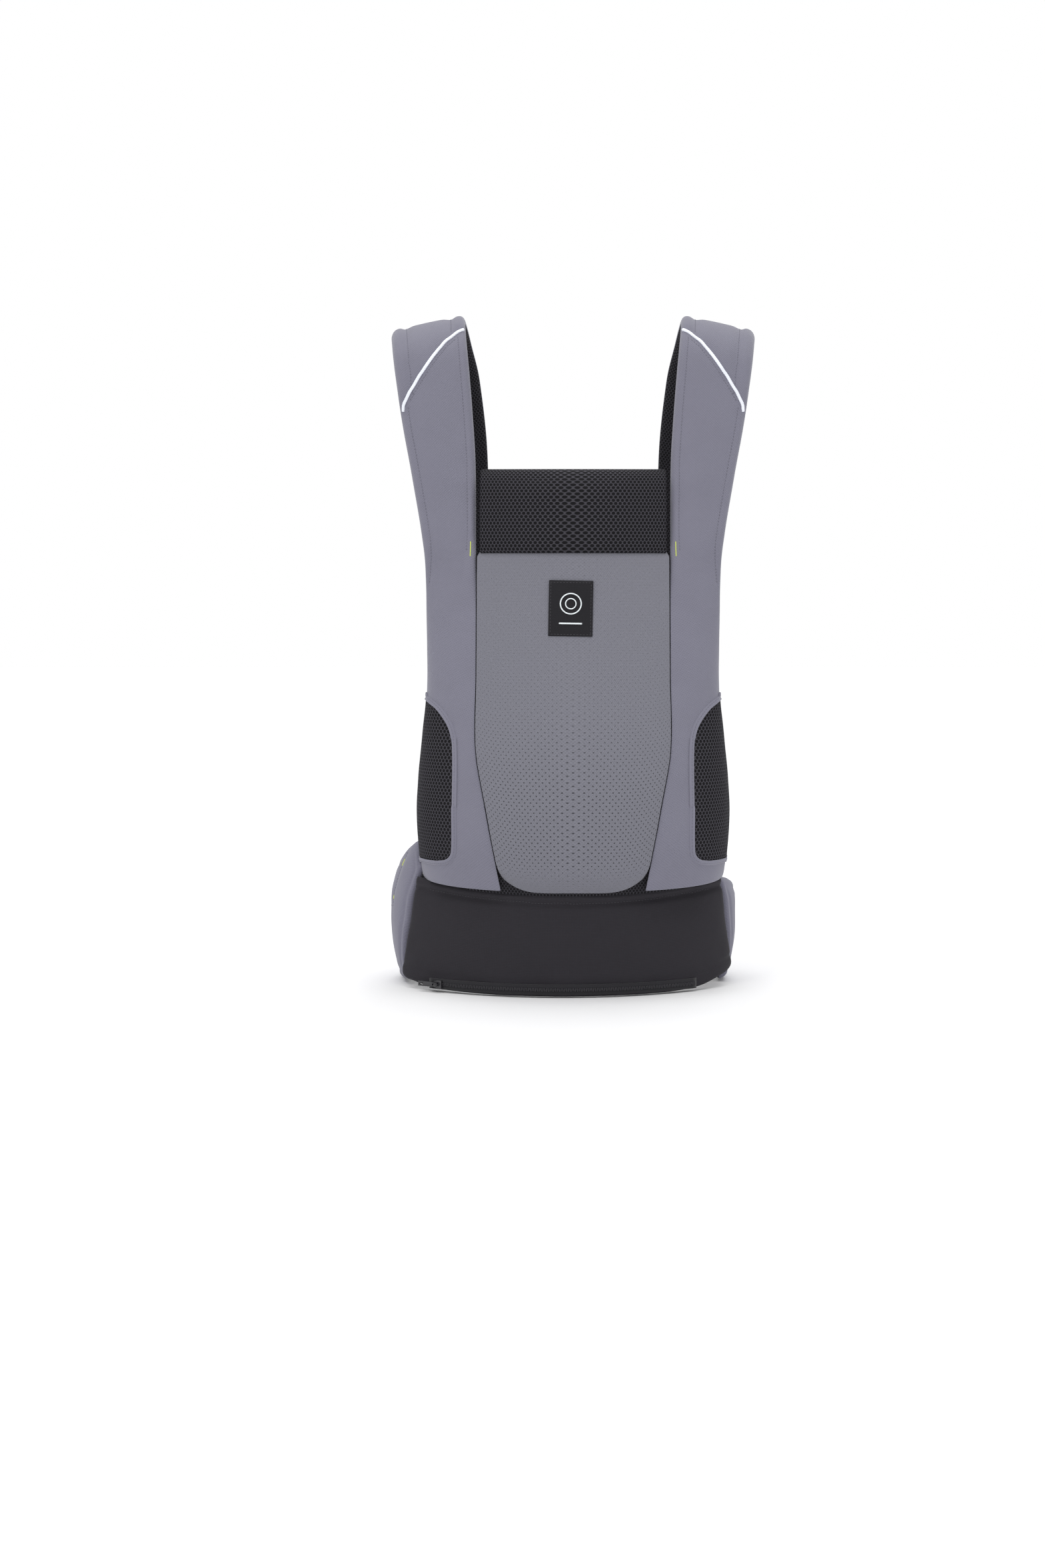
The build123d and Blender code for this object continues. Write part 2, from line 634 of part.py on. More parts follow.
def loop_round(bar, height, away):
    """Points of a web that comes in over a bar, round it and back out below it."""
    x, level = bar
    rise = height / 2 + bar_clearance + web / 2
    ply = web / 2 + 0.15
    turn = x - away * (bar_depth / 2 + 1.7)
    return [(x + away * 6.0, level + ply), (x + away * 3.2, level + rise), (turn, level + rise),
            (turn, level - rise), (x + away * 3.2, level - rise), (x + away * 6.0, level - ply)]


def weave(mouth, level, away, tail_end):
    """Points of a web threaded through the plug's two bars, ending in its free tail."""
    under = level - (bar_height / 2 + 3 * web / 2 + 2 * play + 0.2)
    over = level + bar_height / 2 + bar_clearance + web / 2
    tail = level - (bar_height / 2 + play + web / 2)
    inner_slot, outer_slot = mouth + away * 9.25, mouth + away * 17.75
    return [(inner_slot, under), (inner_slot, over), (outer_slot, over), (outer_slot, tail),
            (tail_end, tail)]


# ---- Under-arm run of each strap: tab, ladder lock, webbing, buckle, anchor --------------------
run_flat = Plane(origin=(strap_end_x, *strap_end), x_dir=(0, *run_direction), z_dir=(0, *run_normal))
lock_start, lock_length, lock_height = 5.0, 28.0, 4.0
lock_bars = (0.0, 8.25, 16.25, 24.0)        # where each bar starts
side_mouth = 96.0
panel_back_y = -80.0
anchor_x = (strap_end[0] - panel_back_y) / -run_direction[0]
anchor_tab = 26.0


def along_run(distance):
    return Plane(origin=run_flat.from_local_coords((distance, 0, 0)), x_dir=run_flat.x_dir,
                 z_dir=run_flat.z_dir)


with BuildPart() as ladder_lock:
    lock_plane = along_run(lock_start)
    with BuildSketch(lock_plane):
        with Locations((lock_length / 2, 0)):
            RectangleRounded(lock_length, strap_web_width + 9, 3.0)
        for start in lock_bars[:-1]:
            with Locations((start + 4.0 + 2.1, 0)):
                Rectangle(4.2, strap_web_width + 1.6, mode=Mode.SUBTRACT)
    extrude(amount=lock_height / 2, both=True)
    with BuildSketch(lock_plane.offset(lock_height / 2 - 0.5)):
        with Locations((lock_length - 1.6, 0)):
            RectangleRounded(3.2, strap_web_width - 3, 1.0)
    extrude(amount=3.0)
write_pair(ladder_lock, "ladder_lock")

tab_route = loop_round((lock_start + 2.0, 0.0), lock_height, -1)
write_pair(webbing(run_side, [(-2.6, 0.95)] + tab_route + [(-2.6, -0.95)], strap_web_width), "strap_tab")

lock_rise = lock_height / 2 + bar_clearance + web / 2
load_level = -lock_rise - web - play
adjust_bar = lock_start + lock_bars[2]
strap_web_route = ([(66.0, 0.95)] + loop_round((side_mouth + near_bar_x, 0.0), bar_height, -1)
                   + [(64.0, load_level), (adjust_bar - 2.1, load_level),
                      (adjust_bar - 2.1, lock_rise), (adjust_bar + 5.9, lock_rise),
                      (adjust_bar + 5.9, -lock_rise), (58.0, -lock_rise)])
write_pair(webbing(run_side, strap_web_route, strap_web_width), "strap_web")

side_buckle = along_run(side_mouth)
write_pair(buckle_socket(side_buckle, strap_web_width), "side_socket")
write_pair(buckle_plug(side_buckle, strap_web_width, False), "side_plug")
write_pair(buckle_prong(side_buckle, strap_web_width, 1), "side_prong_outer")
write_pair(buckle_prong(side_buckle, strap_web_width, -1), "side_prong_inner")

socket_bar = side_mouth + buckle_size(strap_web_width)[1] - bar_depth / 2
tab_slope = (-sin(radians(underarm_fall)) * anchor_tab, cos(radians(underarm_fall)) * anchor_tab)
anchor_loop = loop_round((socket_bar, 0.0), bar_height, 1)
write_pair(webbing(run_side, [(anchor_x + tab_slope[0], tab_slope[1]), (anchor_x - 0.6, 0.95)]
                   + anchor_loop
                   + [(anchor_x + 0.6, -0.95), (anchor_x - tab_slope[0], -tab_slope[1])],
                   strap_web_width), "anchor_web")


def keeper(plane, width, low, high, length):
    """A closed elastic loop round a web and its tail; x of the plane runs along the web."""
    wall, slack = 1.2, 0.4
    with BuildPart() as ring:
        with BuildSketch(Plane(origin=plane.origin, x_dir=plane.y_dir, z_dir=plane.x_dir)):
            with Locations((0, (low + high) / 2)):
                RectangleRounded(width + 2 * (slack + wall), high - low + 2 * (slack + wall), wall)
                Rectangle(width + 2 * slack, high - low + 2 * slack, mode=Mode.SUBTRACT)
        extrude(amount=length)
    return ring


keeper_start, keeper_length = 38.0, 12.0
write_pair(keeper(along_run(keeper_start), strap_web_width, load_level - web / 2,
                  web / 2 - lock_rise, keeper_length), "strap_keeper")

# ---- Waist closure behind the wearer ----------------------------------------------------------
waist_mouth_x = -12.0
waist_level = 114.0
waist_top = Plane((belt_x, belt_y, belt_axis_z))
waist_buckle = Plane(origin=(belt_x + waist_mouth_x, belt_y + waist_level, belt_axis_z),
                     x_dir=(1, 0, 0), z_dir=(0, 1, 0))
write(buckle_socket(waist_buckle, waist_web_width), "waist_socket")
write(buckle_plug(waist_buckle, waist_web_width, True), "waist_plug")
write(buckle_prong(waist_buckle, waist_web_width, -1), "waist_prong_upper")
write(buckle_prong(waist_buckle, waist_web_width, 1), "waist_prong_lower")

on_wing = [(125.0, 87.9), (97.0, 101.1)]
waist_socket_bar = waist_mouth_x + buckle_size(waist_web_width)[1] - bar_depth / 2
write(webbing(waist_top, on_wing + loop_round((waist_socket_bar, waist_level), bar_height, 1)[::-1]
              + [(waist_socket_bar + 22, waist_level + 0.95)], waist_web_width), "waist_web_r")
waist_weave = weave(waist_mouth_x, waist_level, -1, waist_mouth_x - 56)
write(webbing(waist_top, [(-x, y) for x, y in on_wing] + [(waist_mouth_x - 60, waist_weave[0][1])]
              + waist_weave, waist_web_width), "waist_web_l")
waist_keeper_x = waist_mouth_x - 50
waist_keeper_plane = Plane(origin=(belt_x + waist_keeper_x, belt_y + waist_level, belt_axis_z),
                           x_dir=(1, 0, 0), z_dir=(0, 1, 0))
write(keeper(waist_keeper_plane, waist_web_width, waist_weave[0][1] - waist_level - web / 2,
             waist_weave[-1][1] - waist_level + web / 2, keeper_length), "waist_keeper")

# ---- Chest strap on the rails of the back runs ------------------------------------------------
chest_z = 545.0
rail_x, rail_width, rail_length, rail_thickness = 112.0, 10.0, 120.0, 1.6
rail_gap = 4.4                              # under the rail, above the strap
slider_wall_thickness = 1.5
chest_level = 7.0
crest_tangent = tuple(crest_centre[i] + crest_radius * back_out[i] for i in range(2))
chest_drop = (crest_tangent[1] - chest_z) / -back_down[1]
chest_origin = (0, crest_tangent[0] + chest_drop * back_down[0], chest_z)
chest_flat = Plane(origin=chest_origin, x_dir=(1, 0, 0), z_dir=(0, *back_out))
chest_edge = Plane(origin=chest_origin, x_dir=(1, 0, 0), z_dir=(0, -back_down[0], -back_down[1]))


def chest_at(across, height=0.0):
    """A plane on the wearer's back run: x to the right, y down the strap, z away from it."""
    return Plane(origin=chest_flat.from_local_coords((across, 0, height)), x_dir=chest_flat.x_dir,
                 z_dir=chest_flat.z_dir)


rail_side = Plane(origin=chest_flat.from_local_coords((rail_x, 0, 0)), x_dir=chest_flat.y_dir,
                  z_dir=(1, 0, 0))
rail_level = rail_gap + rail_thickness / 2
with BuildPart() as chest_rail:
    with BuildSketch(rail_side):
        with BuildLine() as line:
            FilletPolyline((-rail_length / 2 - 12, 1.5), (-rail_length / 2 - 5, 1.5),
                           (-rail_length / 2, rail_level), (rail_length / 2, rail_level),
                           (rail_length / 2 + 5, 1.5), (rail_length / 2 + 12, 1.5), radius=2.0)
        trace(line.edges(), line_width=rail_thickness)
    extrude(amount=rail_width / 2, both=True)
write_pair(chest_rail, "chest_rail")

slider_bar_x = 92.5
slider_half_height = 8.0
slot_low, slot_high = rail_gap - play, rail_gap + rail_thickness + play
body_low, body_high = slot_low - slider_wall_thickness, slot_high + 2.0
with BuildPart() as chest_slider:
    with BuildSketch(chest_at(0, body_low)):
        with Locations((rail_x + 0.5, 0)):
            RectangleRounded(rail_width + 7, 2 * slider_half_height, 2.0)
    extrude(amount=body_high - body_low)
    with BuildSketch(chest_at(0, rail_level - lock_height / 2)):
        with Locations((slider_bar_x + 4, 0)):
            RectangleRounded(12, chest_web_width + 7, 2.0)
        with Locations((slider_bar_x + bar_depth / 2 + 2.0, 0)):
            Rectangle(4.0, chest_web_width + 1.2, mode=Mode.SUBTRACT)
    extrude(amount=lock_height)
    with BuildSketch(chest_at(0, slot_low)):
        with Locations((rail_x, 0)):
            Rectangle(rail_width + 2 * play, 60)
    extrude(amount=slot_high - slot_low, mode=Mode.SUBTRACT)
write_pair(chest_slider, "chest_slider")

chest_mouth_x = -6.0
chest_buckle = chest_at(chest_mouth_x, chest_level)
write(buckle_socket(chest_buckle, chest_web_width), "chest_socket")
write(buckle_plug(chest_buckle, chest_web_width, True), "chest_plug")
write(buckle_prong(chest_buckle, chest_web_width, -1), "chest_prong_upper")
write(buckle_prong(chest_buckle, chest_web_width, 1), "chest_prong_lower")

chest_socket_bar = chest_mouth_x + buckle_size(chest_web_width)[1] - bar_depth / 2
right_route = (loop_round((chest_socket_bar, chest_level), bar_height, 1)
               + loop_round((slider_bar_x, rail_level), lock_height, -1)[::-1])
write(webbing(chest_edge, [(chest_socket_bar + 16, chest_level + 0.95)] + right_route
              + [(slider_bar_x - 16, rail_level + 1.9)], chest_web_width), "chest_web_r")
left_loop = [(-x, y) for x, y in loop_round((slider_bar_x, rail_level), lock_height, -1)]
chest_weave = weave(chest_mouth_x, chest_level, -1, chest_mouth_x - 50)
write(webbing(chest_edge, [(16 - slider_bar_x, rail_level + 0.95)] + left_loop
              + [(chest_mouth_x - 60, chest_weave[0][1])] + chest_weave, chest_web_width), "chest_web_l")
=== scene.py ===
"""Visible fabric, stitching and finishes of a soft baby carrier, sewn over its CAD frame."""
from math import acos, asin, ceil, copysign, cos, pi, radians, sin, sqrt, tan
import bmesh
import bpy
from bpy.props import FloatProperty, FloatVectorProperty, PointerProperty
from mathutils import Matrix, Vector, noise
from mathutils.bvhtree import BVHTree


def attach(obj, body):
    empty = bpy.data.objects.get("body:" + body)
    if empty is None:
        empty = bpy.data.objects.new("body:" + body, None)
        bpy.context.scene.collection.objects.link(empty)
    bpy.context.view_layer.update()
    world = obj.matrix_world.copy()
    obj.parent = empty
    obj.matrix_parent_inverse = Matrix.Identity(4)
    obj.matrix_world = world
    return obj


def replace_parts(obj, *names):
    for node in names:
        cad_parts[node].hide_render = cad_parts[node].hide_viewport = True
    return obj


bl_info = {
    "name": "Soft Baby Carrier",
    "version": (1, 0, 0),
    "blender": (4, 5, 0),
    "location": "3D View > Sidebar > Carrier",
    "description": "Pads, covers and stitches a soft baby carrier over its CAD frame",
    "category": "Object",
}

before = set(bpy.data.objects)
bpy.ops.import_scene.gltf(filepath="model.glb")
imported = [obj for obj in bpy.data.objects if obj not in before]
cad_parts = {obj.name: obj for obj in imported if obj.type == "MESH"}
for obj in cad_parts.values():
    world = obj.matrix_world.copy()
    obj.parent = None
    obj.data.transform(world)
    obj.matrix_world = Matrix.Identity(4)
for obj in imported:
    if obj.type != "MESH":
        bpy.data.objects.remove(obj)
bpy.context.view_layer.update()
MM = 0.001

# ---- Sizes shared with the CAD frame, in millimetres ------------------------------------------
SQUARENESS = 0.77
HEM_GAP = 0.3
BASE_Z, TOP_Z = 467.3, 561.0
SEAM_HALF_WIDTH = 103.5
BODY_LEVELS = (
    (106.0, 162.0, -34.0, 85.0),
    (150.0, 168.0, -29.0, 98.0),
    (200.0, 170.0, -28.0, 102.0),
    (260.0, 165.0, -38.0, 87.0),
    (320.0, 158.0, -60.0, 55.0),
    (400.0, 157.5, -74.0, 30.0),
    (467.0, 159.0, -78.0, 16.0),
)
HEADREST_LEVELS = (
    (467.3, 159.0, -78.0, 16.5),
    (500.0, 159.0, -77.0, 22.0),
    (530.0, 159.0, -75.0, 23.0),
    (550.0, 159.0, -71.0, 21.0),
    (561.0, 159.0, -62.0, 14.0),
)
# Half width of the centre panel by height.
SEAM_LINE = ((90.0, 72.0), (206.0, 94.0), (262.0, 103.5), (340.0, 103.5), (600.0, 103.5))
STRAP_FRONT_Y, CREST_Y, CREST_Z, CREST_RADIUS = -92.0, -20.0, 663.0, 72.0
BACK_LEAN, BACK_LENGTH, UNDERARM_RADIUS, UNDERARM_FALL = radians(8.6), 205.0, 70.0, radians(32.0)
SHOULDER_SLOPE, NECK_X = tan(radians(12.0)), 120.0
FRONT_RUN = CREST_Z - BASE_Z
CREST_RUN = CREST_RADIUS * (pi - BACK_LEAN)
UNDERARM_TURN = BACK_LEAN + pi / 2 - UNDERARM_FALL
UNDERARM_RUN = UNDERARM_RADIUS * UNDERARM_TURN
STRAP_RUN = FRONT_RUN + CREST_RUN + BACK_LENGTH + UNDERARM_RUN - 3.0
STRAP_THICKNESS = 17.0
# Inner and outer edge of the strap by the length along it from the headrest's foot.
STRAP_EDGES = (
    (-60.0, 103.8, 158.5), (0.0, 103.8, 159.0), (93.0, 104.2, 172.0), (150.0, 107.5, 182.0),
    (195.0, 111.0, 188.5), (255.0, 116.0, 195.5), (308.0, 118.5, 199.5), (360.0, 115.0, 195.0),
    (411.0, 106.5, 184.0), (486.0, 98.6, 171.0), (560.0, 97.5, 162.5), (638.0, 99.8, 156.0),
    (672.0, 108.0, 154.0), (700.0, 119.5, 152.0),
)
BELT_X, BELT_Y, BELT_RADIUS, BELT_CENTRE = -11.0, 4.0, 270.0, 153.0
SIDE_RADIUS, SIDE_CENTRE = 80.94, 111.06
FRONT_ANGLE = asin((SIDE_CENTRE + SIDE_RADIUS * SIDE_CENTRE / (BELT_RADIUS - SIDE_RADIUS)) / BELT_RADIUS)
FRONT_ARC = BELT_RADIUS * FRONT_ANGLE
SIDE_ARC = SIDE_RADIUS * (pi - 2 * FRONT_ANGLE)
WING_END = 394.0
# The pouch from the front: its lower edge by x, and its two sides by height.
POUCH_FOOT = ((-189.0, 24.0), (-186.5, 11.0), (-176.0, 7.0), (-148.0, 2.0), (-118.0, 0.6), (-80.0, 0.0),
              (80.0, 0.0), (112.0, 0.6), (140.0, 3.5), (162.0, 11.0), (174.0, 17.0), (177.5, 28.0))
POUCH_SIDES = ((24.0, -189.0, 177.5), (60.0, -181.5, 171.0), (100.0, -175.0, 166.0), (150.0, -168.5, 160.5))
# Upper and lower edge of each wing by y.
WING_TOPS = {
    "l": ((-90.0, 134.0), (-57.0, 134.5), (-48.0, 151.0), (-38.0, 157.0), (30.0, 125.0), (125.0, 84.0)),
    "r": ((-90.0, 114.0), (-57.0, 114.2), (-48.0, 117.0), (-38.0, 118.0), (30.0, 106.0), (125.0, 84.0)),
}
WING_FOOT = ((-90.0, 9.5), (-30.0, 3.7), (24.0, 1.5), (80.0, 11.5), (125.0, 32.0))
ZIP_Z, ZIP_HALF, TOOTH_PITCH = 8.5, BELT_RADIUS * radians(32.0), 1.9
CENTRE_FOOT, CENTRE_LAP = 107.5, 6.0
HEM_DEPTH = 11.0
WINDOW_FOOT, WINDOW_HEAD = 138.8, 317.0
# The wings' two sewn lines: one upright, as a share of the run, and one level.
WING_RUN = 220.0
WING_CHANNEL, WING_SEAM_Z = 46.0 / WING_RUN, 85.0


def smoothstep(low, high, value):
    part = min(1.0, max(0.0, (value - low) / (high - low)))
    return part * part * (3 - 2 * part)


def between(table, at):
    """The table's row at this key, by a smooth curve through its rows."""
    last = len(table) - 1
    at = min(max(at, table[0][0]), table[last][0])
    index = max(i for i in range(last) if table[i][0] <= at)
    a, b = table[index], table[index + 1]
    before, after = table[max(index - 1, 0)], table[min(index + 2, last)]
    span = b[0] - a[0]
    t = (at - a[0]) / span
    values = []
    for k in range(1, len(a)):
        slope_a = (b[k] - before[k]) / (b[0] - before[0]) * span
        slope_b = (after[k] - a[k]) / (after[0] - a[0]) * span
        values.append((2 * t ** 3 - 3 * t ** 2 + 1) * a[k] + (t ** 3 - 2 * t ** 2 + t) * slope_a
                      + (3 * t ** 2 - 2 * t ** 3) * b[k] + (t ** 3 - t ** 2) * slope_b)
    return values


def hem_z(x):
    """Height of the waist pouch's sagging top hem."""
    return 109.5 + 27.5 * ((x + 5.0) / 257.0) ** 2


# ---- Surfaces: a point in millimetres from a place across, a place along and a depth ------------
def shell(levels, z, angle, depth):
    half_width, rear, bulge = between(levels, z)
    s, c = sin(angle), cos(angle)
    return Vector(((half_width - depth) * copysign(abs(s) ** SQUARENESS, s),
                   rear - (bulge - depth) * abs(c) ** SQUARENESS, z))


def angle_at(levels, z, x):
    """The angle on the shell, seen from above, where it reaches this x."""
    half_width = between(levels, z)[0]
    share = min(1.0, abs(x) / half_width)
    return copysign(asin(share ** (1 / SQUARENESS)), x)


def centre_surface(u, v, depth):
    for _ in range(4):
        foot = CENTRE_FOOT + 15.0 * abs(2 * u - 1) ** 5
        z = foot + v * (BASE_Z + CENTRE_LAP - foot)
        half = between(SEAM_LINE, z)[0] - 0.2 - 9.0 * max(0.0, 1 - (z - CENTRE_FOOT) / 28.0) ** 2
    angle = (2 * u - 1) * angle_at(BODY_LEVELS, z, half)
    tuck = 9.0 * max(0.0, 1 - (z - foot) / 22.0) ** 2
    puff = 6.5 * (1 - abs(2 * u - 1) ** 5) * smoothstep(-0.02, 0.08, v) * (1 - smoothstep(0.25, 0.9, v))
    tuck += 5.0 * smoothstep(BASE_Z - 2.5, BASE_Z + 5.0, z)
    return shell(BODY_LEVELS, z, angle, depth + tuck - puff)


def lining_surface(u, v, depth):
    x = (2 * u - 1) * 118.0
    z = hem_z(x) - 3.0 + v * (BASE_Z + 2.0 - hem_z(x))
    return shell(BODY_LEVELS, z, angle_at(BODY_LEVELS, z, x), depth + 6.0)


def headrest_surface(u, v, depth):
    z = BASE_Z + 0.8 + v * (TOP_Z - BASE_Z - 0.8)
    return shell(HEADREST_LEVELS, z, (2 * u - 1) * angle_at(HEADREST_LEVELS, z, SEAM_HALF_WIDTH - 0.8), depth)


def strap_profile(along, depth):
    """The strap from the side: y, and z where it crosses the neck edge."""
    if along < FRONT_RUN:
        return STRAP_FRONT_Y + depth, BASE_Z + along
    along -= FRONT_RUN
    if along < CREST_RUN:
        angle = pi - along / CREST_RADIUS
        return CREST_Y + (CREST_RADIUS - depth) * cos(angle), CREST_Z + (CREST_RADIUS - depth) * sin(angle)
    along -= CREST_RUN
    out, down = (cos(BACK_LEAN), sin(BACK_LEAN)), (sin(BACK_LEAN), -cos(BACK_LEAN))
    if along < BACK_LENGTH:
        return (CREST_Y + (CREST_RADIUS - depth) * out[0] + along * down[0],
                CREST_Z + (CREST_RADIUS - depth) * out[1] + along * down[1])
    angle = BACK_LEAN - (along - BACK_LENGTH) / UNDERARM_RADIUS
    y = CREST_Y + (CREST_RADIUS - UNDERARM_RADIUS) * out[0] + BACK_LENGTH * down[0]
    z = CREST_Z + (CREST_RADIUS - UNDERARM_RADIUS) * out[1] + BACK_LENGTH * down[1]
    return y + (UNDERARM_RADIUS - depth) * cos(angle), z + (UNDERARM_RADIUS - depth) * sin(angle)


PANEL_FOOT = 112.0
PANEL_RUN = BASE_Z - PANEL_FOOT


def strap_place(across, along, depth):
    """The strap and the side panel below it as one length of fabric; along is 0 at the headrest's foot."""
    inner, outer = between(STRAP_EDGES, along)
    x = inner + across * (outer - inner)
    y, z = strap_profile(along, depth)
    on_strap = Vector((x, y, z - (x - NECK_X) * SHOULDER_SLOPE * smoothstep(-40, 110, along)))
    share = smoothstep(-70.0, 25.0, along)
    if share == 1.0:
        return on_strap
    z = BASE_Z + along
    start = angle_at(BODY_LEVELS, z, between(SEAM_LINE, z)[0] + 0.3)
    x = between(SEAM_LINE, z)[0] + across * (between(BODY_LEVELS, z)[0] - between(SEAM_LINE, z)[0])
    angle = start + across * (pi / 2 - start)
    foot = hem_z(x) + HEM_GAP
    lift = max(0.0, 1 - (z - PANEL_FOOT) / 60.0)
    on_body = shell(BODY_LEVELS, z + lift * (foot - PANEL_FOOT), angle, depth * 0.3)
    return on_body.lerp(on_strap, share)


def strap_surface(u, v, depth):
    return strap_place(u, v * (PANEL_RUN + STRAP_RUN) - PANEL_RUN, depth)


def belt_place(t, z, depth):
    """The belt's outer face: t is the length round it from the middle of the front."""
    a = abs(t)
    if a < FRONT_ARC:
        turn = a / BELT_RADIUS
        x, y = (BELT_RADIUS - depth) * sin(turn), BELT_CENTRE - (BELT_RADIUS - depth) * cos(turn)
    elif a < FRONT_ARC + SIDE_ARC:
        turn = FRONT_ANGLE - pi / 2 + (a - FRONT_ARC) / SIDE_RADIUS
        x, y = SIDE_CENTRE + (SIDE_RADIUS - depth) * cos(turn), (SIDE_RADIUS - depth) * sin(turn)
    else:
        turn = pi / 2 - FRONT_ANGLE + (a - FRONT_ARC - SIDE_ARC) / BELT_RADIUS
        x, y = (BELT_RADIUS - depth) * cos(turn), (BELT_RADIUS - depth) * sin(turn) - BELT_CENTRE
    return Vector((BELT_X + copysign(x, t), BELT_Y + y, z))


def belt_length(x):
    """The length round the belt from the middle of the front to this x, on the front half."""
    across = abs(x - BELT_X)
    if across < BELT_RADIUS * sin(FRONT_ANGLE):
        length = BELT_RADIUS * asin(across / BELT_RADIUS)
    else:
        turn = pi / 2 - FRONT_ANGLE - acos(min(1.0, (across - SIDE_CENTRE) / SIDE_RADIUS))
        length = FRONT_ARC + SIDE_RADIUS * turn
    return copysign(length, x - BELT_X)


def pouch_surface(u, v, depth):
    x, z = 0.0, 60.0
    for _ in range(5):
        left, right = between(POUCH_SIDES, max(24.0, z))
        x = left + u * (right - left)
        foot = between(POUCH_FOOT, x)[0] + 0.4
        z = foot + v * (hem_z(x) - foot)
    return belt_place(belt_length(x), z, depth)


def wing_surface(side):
    sign = 1 if side == "r" else -1

    def place(u, v, depth):
        z = 70.0
        for _ in range(4):
            start = abs(belt_length(between(POUCH_SIDES, max(24.0, z))[1 if side == "r" else 0])) + 0.8
            length = start + u * (WING_END - start)
            y = belt_place(length, 0.0, 0.0).y
            top, foot = between(WING_TOPS[side], y)[0], between(WING_FOOT, y)[0]
            z = foot + v * (top - foot)
        forward = 1 - smoothstep(-10.0, 70.0, y)
        lean = (22.0 * max(0.0, (z - 92.0) / 65.0) ** 1.5 + 11.0 * max(0.0, (62.0 - z) / 62.0) ** 1.5) * forward
        return belt_place(sign * length, z, lean + depth * (1 - 0.5 * forward * smoothstep(105.0, 150.0, z)))
    return place


# ---- Mesh tools -------------------------------------------------------------------------------
def link(name, mesh, materials, body="carrier"):
    """A finished piece from its mesh in millimetres."""
    data = bpy.data.meshes.new(name)
    bmesh.ops.scale(mesh, vec=(MM, MM, MM), verts=mesh.verts)
    mesh.to_mesh(data)
    mesh.free()
    for material in materials:
        data.materials.append(material)
    data.polygons.foreach_set("use_smooth", [True] * len(data.polygons))
    piece = bpy.data.objects.new(name, data)
    bpy.context.scene.collection.objects.link(piece)
    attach(piece, body)
    return piece


def spaced(step):
    """Places from 0 to 1, closer together near both ends."""
    return step - 0.6 * sin(2 * pi * step) / (2 * pi)


def pad(name, columns, rows, surface, thickness, roll, materials, marks=None, crumple=0.4):
    """A closed pad: two faces that meet in a rounded rim, with sewn lines pressed into them.

    marks(u, v, point) gives how far a point is pressed in, and adds to its weight as a held point.
    """
    mesh = bmesh.new()
    uv_of, held, inner = {}, {}, set()
    grid_u = [spaced(i / columns) for i in range(columns + 1)]
    grid_v = [spaced(j / rows) for j in range(rows + 1)]
    flat = [[surface(u, v, 0.0) for u in grid_u] for v in grid_v]
    widths = [sum((row[i + 1] - row[i]).length for i in range(columns)) for row in flat]
    middle = columns // 2
    lengths = [0.0]
    for j in range(rows):
        lengths.append(lengths[j] + (flat[j + 1][middle] - flat[j][middle]).length)
    for face in (0, 1):
        made = bmesh.ops.create_grid(mesh, x_segments=columns, y_segments=rows, size=0.5)["verts"]
        for vert in made:
            i, j = round((vert.co.x + 0.5) * columns), round((vert.co.y + 0.5) * rows)
            u, v = grid_u[i], grid_v[j]
            edge = min(u * widths[j], (1 - u) * widths[j], v * lengths[rows], (1 - v) * lengths[rows])
            swell = max(0.14, sqrt(max(0.0, 1 - (1 - min(edge / roll, 1.0)) ** 2)))
            thick = thickness(u, v) if callable(thickness) else thickness
            press, hold = marks(u, v, edge) if marks else (0.0, 0.0)
            depth = thick / 2 * (1 - swell) + press
            point = flat[j][i]
            depth += crumple * noise.noise(Vector((point.x, point.y, point.z)) / 23.0)
            vert.co = surface(u, v, depth if face == 0 else thick - depth)
            uv_of[vert] = ((u - 0.5) * widths[j] * MM, lengths[j] * MM)
            held[vert] = max(hold, 1.0 if edge < 0.5 else 0.0)
            if face:
                inner.add(vert)
    for face in mesh.faces:
        face.material_index = 1 if len(materials) > 1 and face.verts[0] in inner else 0
    rim = [edge for edge in mesh.edges if len(edge.link_faces) == 1]
    bmesh.ops.bridge_loops(mesh, edges=rim)
    bmesh.ops.recalc_face_normals(mesh, faces=mesh.faces)
    layer = mesh.loops.layers.uv.new("UVMap")
    for face in mesh.faces:
        for loop in face.loops:
            loop[layer].uv = uv_of[loop.vert]
    mesh.verts.index_update()
    weights = [held[vert] for vert in mesh.verts]
    piece = link(name, mesh, materials)
    group = piece.vertex_groups.new(name="held")
    for index, weight in enumerate(weights):
        if weight:
            group.add([index], weight, "REPLACE")
    return piece


def settle(piece, pressure, cap, frames=16):
    """Inflates a pad with the cloth solver between its sewn lines, and keeps the result."""
    before = [vert.co.copy() for vert in piece.data.vertices]
    cloth = piece.modifiers.new("Cloth", "CLOTH")
    cloth.settings.quality = 5
    cloth.settings.mass = 0.3
    cloth.settings.tension_stiffness = 12
    cloth.settings.compression_stiffness = 12
    cloth.settings.shear_stiffness = 4
    cloth.settings.bending_stiffness = 0.4
    cloth.settings.use_pressure = True
    cloth.settings.uniform_pressure_force = pressure
    cloth.settings.vertex_group_mass = "held"
    cloth.settings.effector_weights.gravity = 0
    cloth.collision_settings.use_collision = False
    scene = bpy.context.scene
    cloth.point_cache.frame_start, cloth.point_cache.frame_end = 1, frames
    for step in range(1, frames + 1):
        scene.frame_set(step)
    graph = bpy.context.evaluated_depsgraph_get()
    after = [vert.co.copy() for vert in piece.evaluated_get(graph).data.vertices]
    piece.modifiers.remove(cloth)
    for vert, old, new in zip(piece.data.vertices, before, after):
        move = new - old
        if move.length > cap * MM:
            move *= cap * MM / move.length
        vert.co = old + move
    scene.frame_set(1)
    return piece


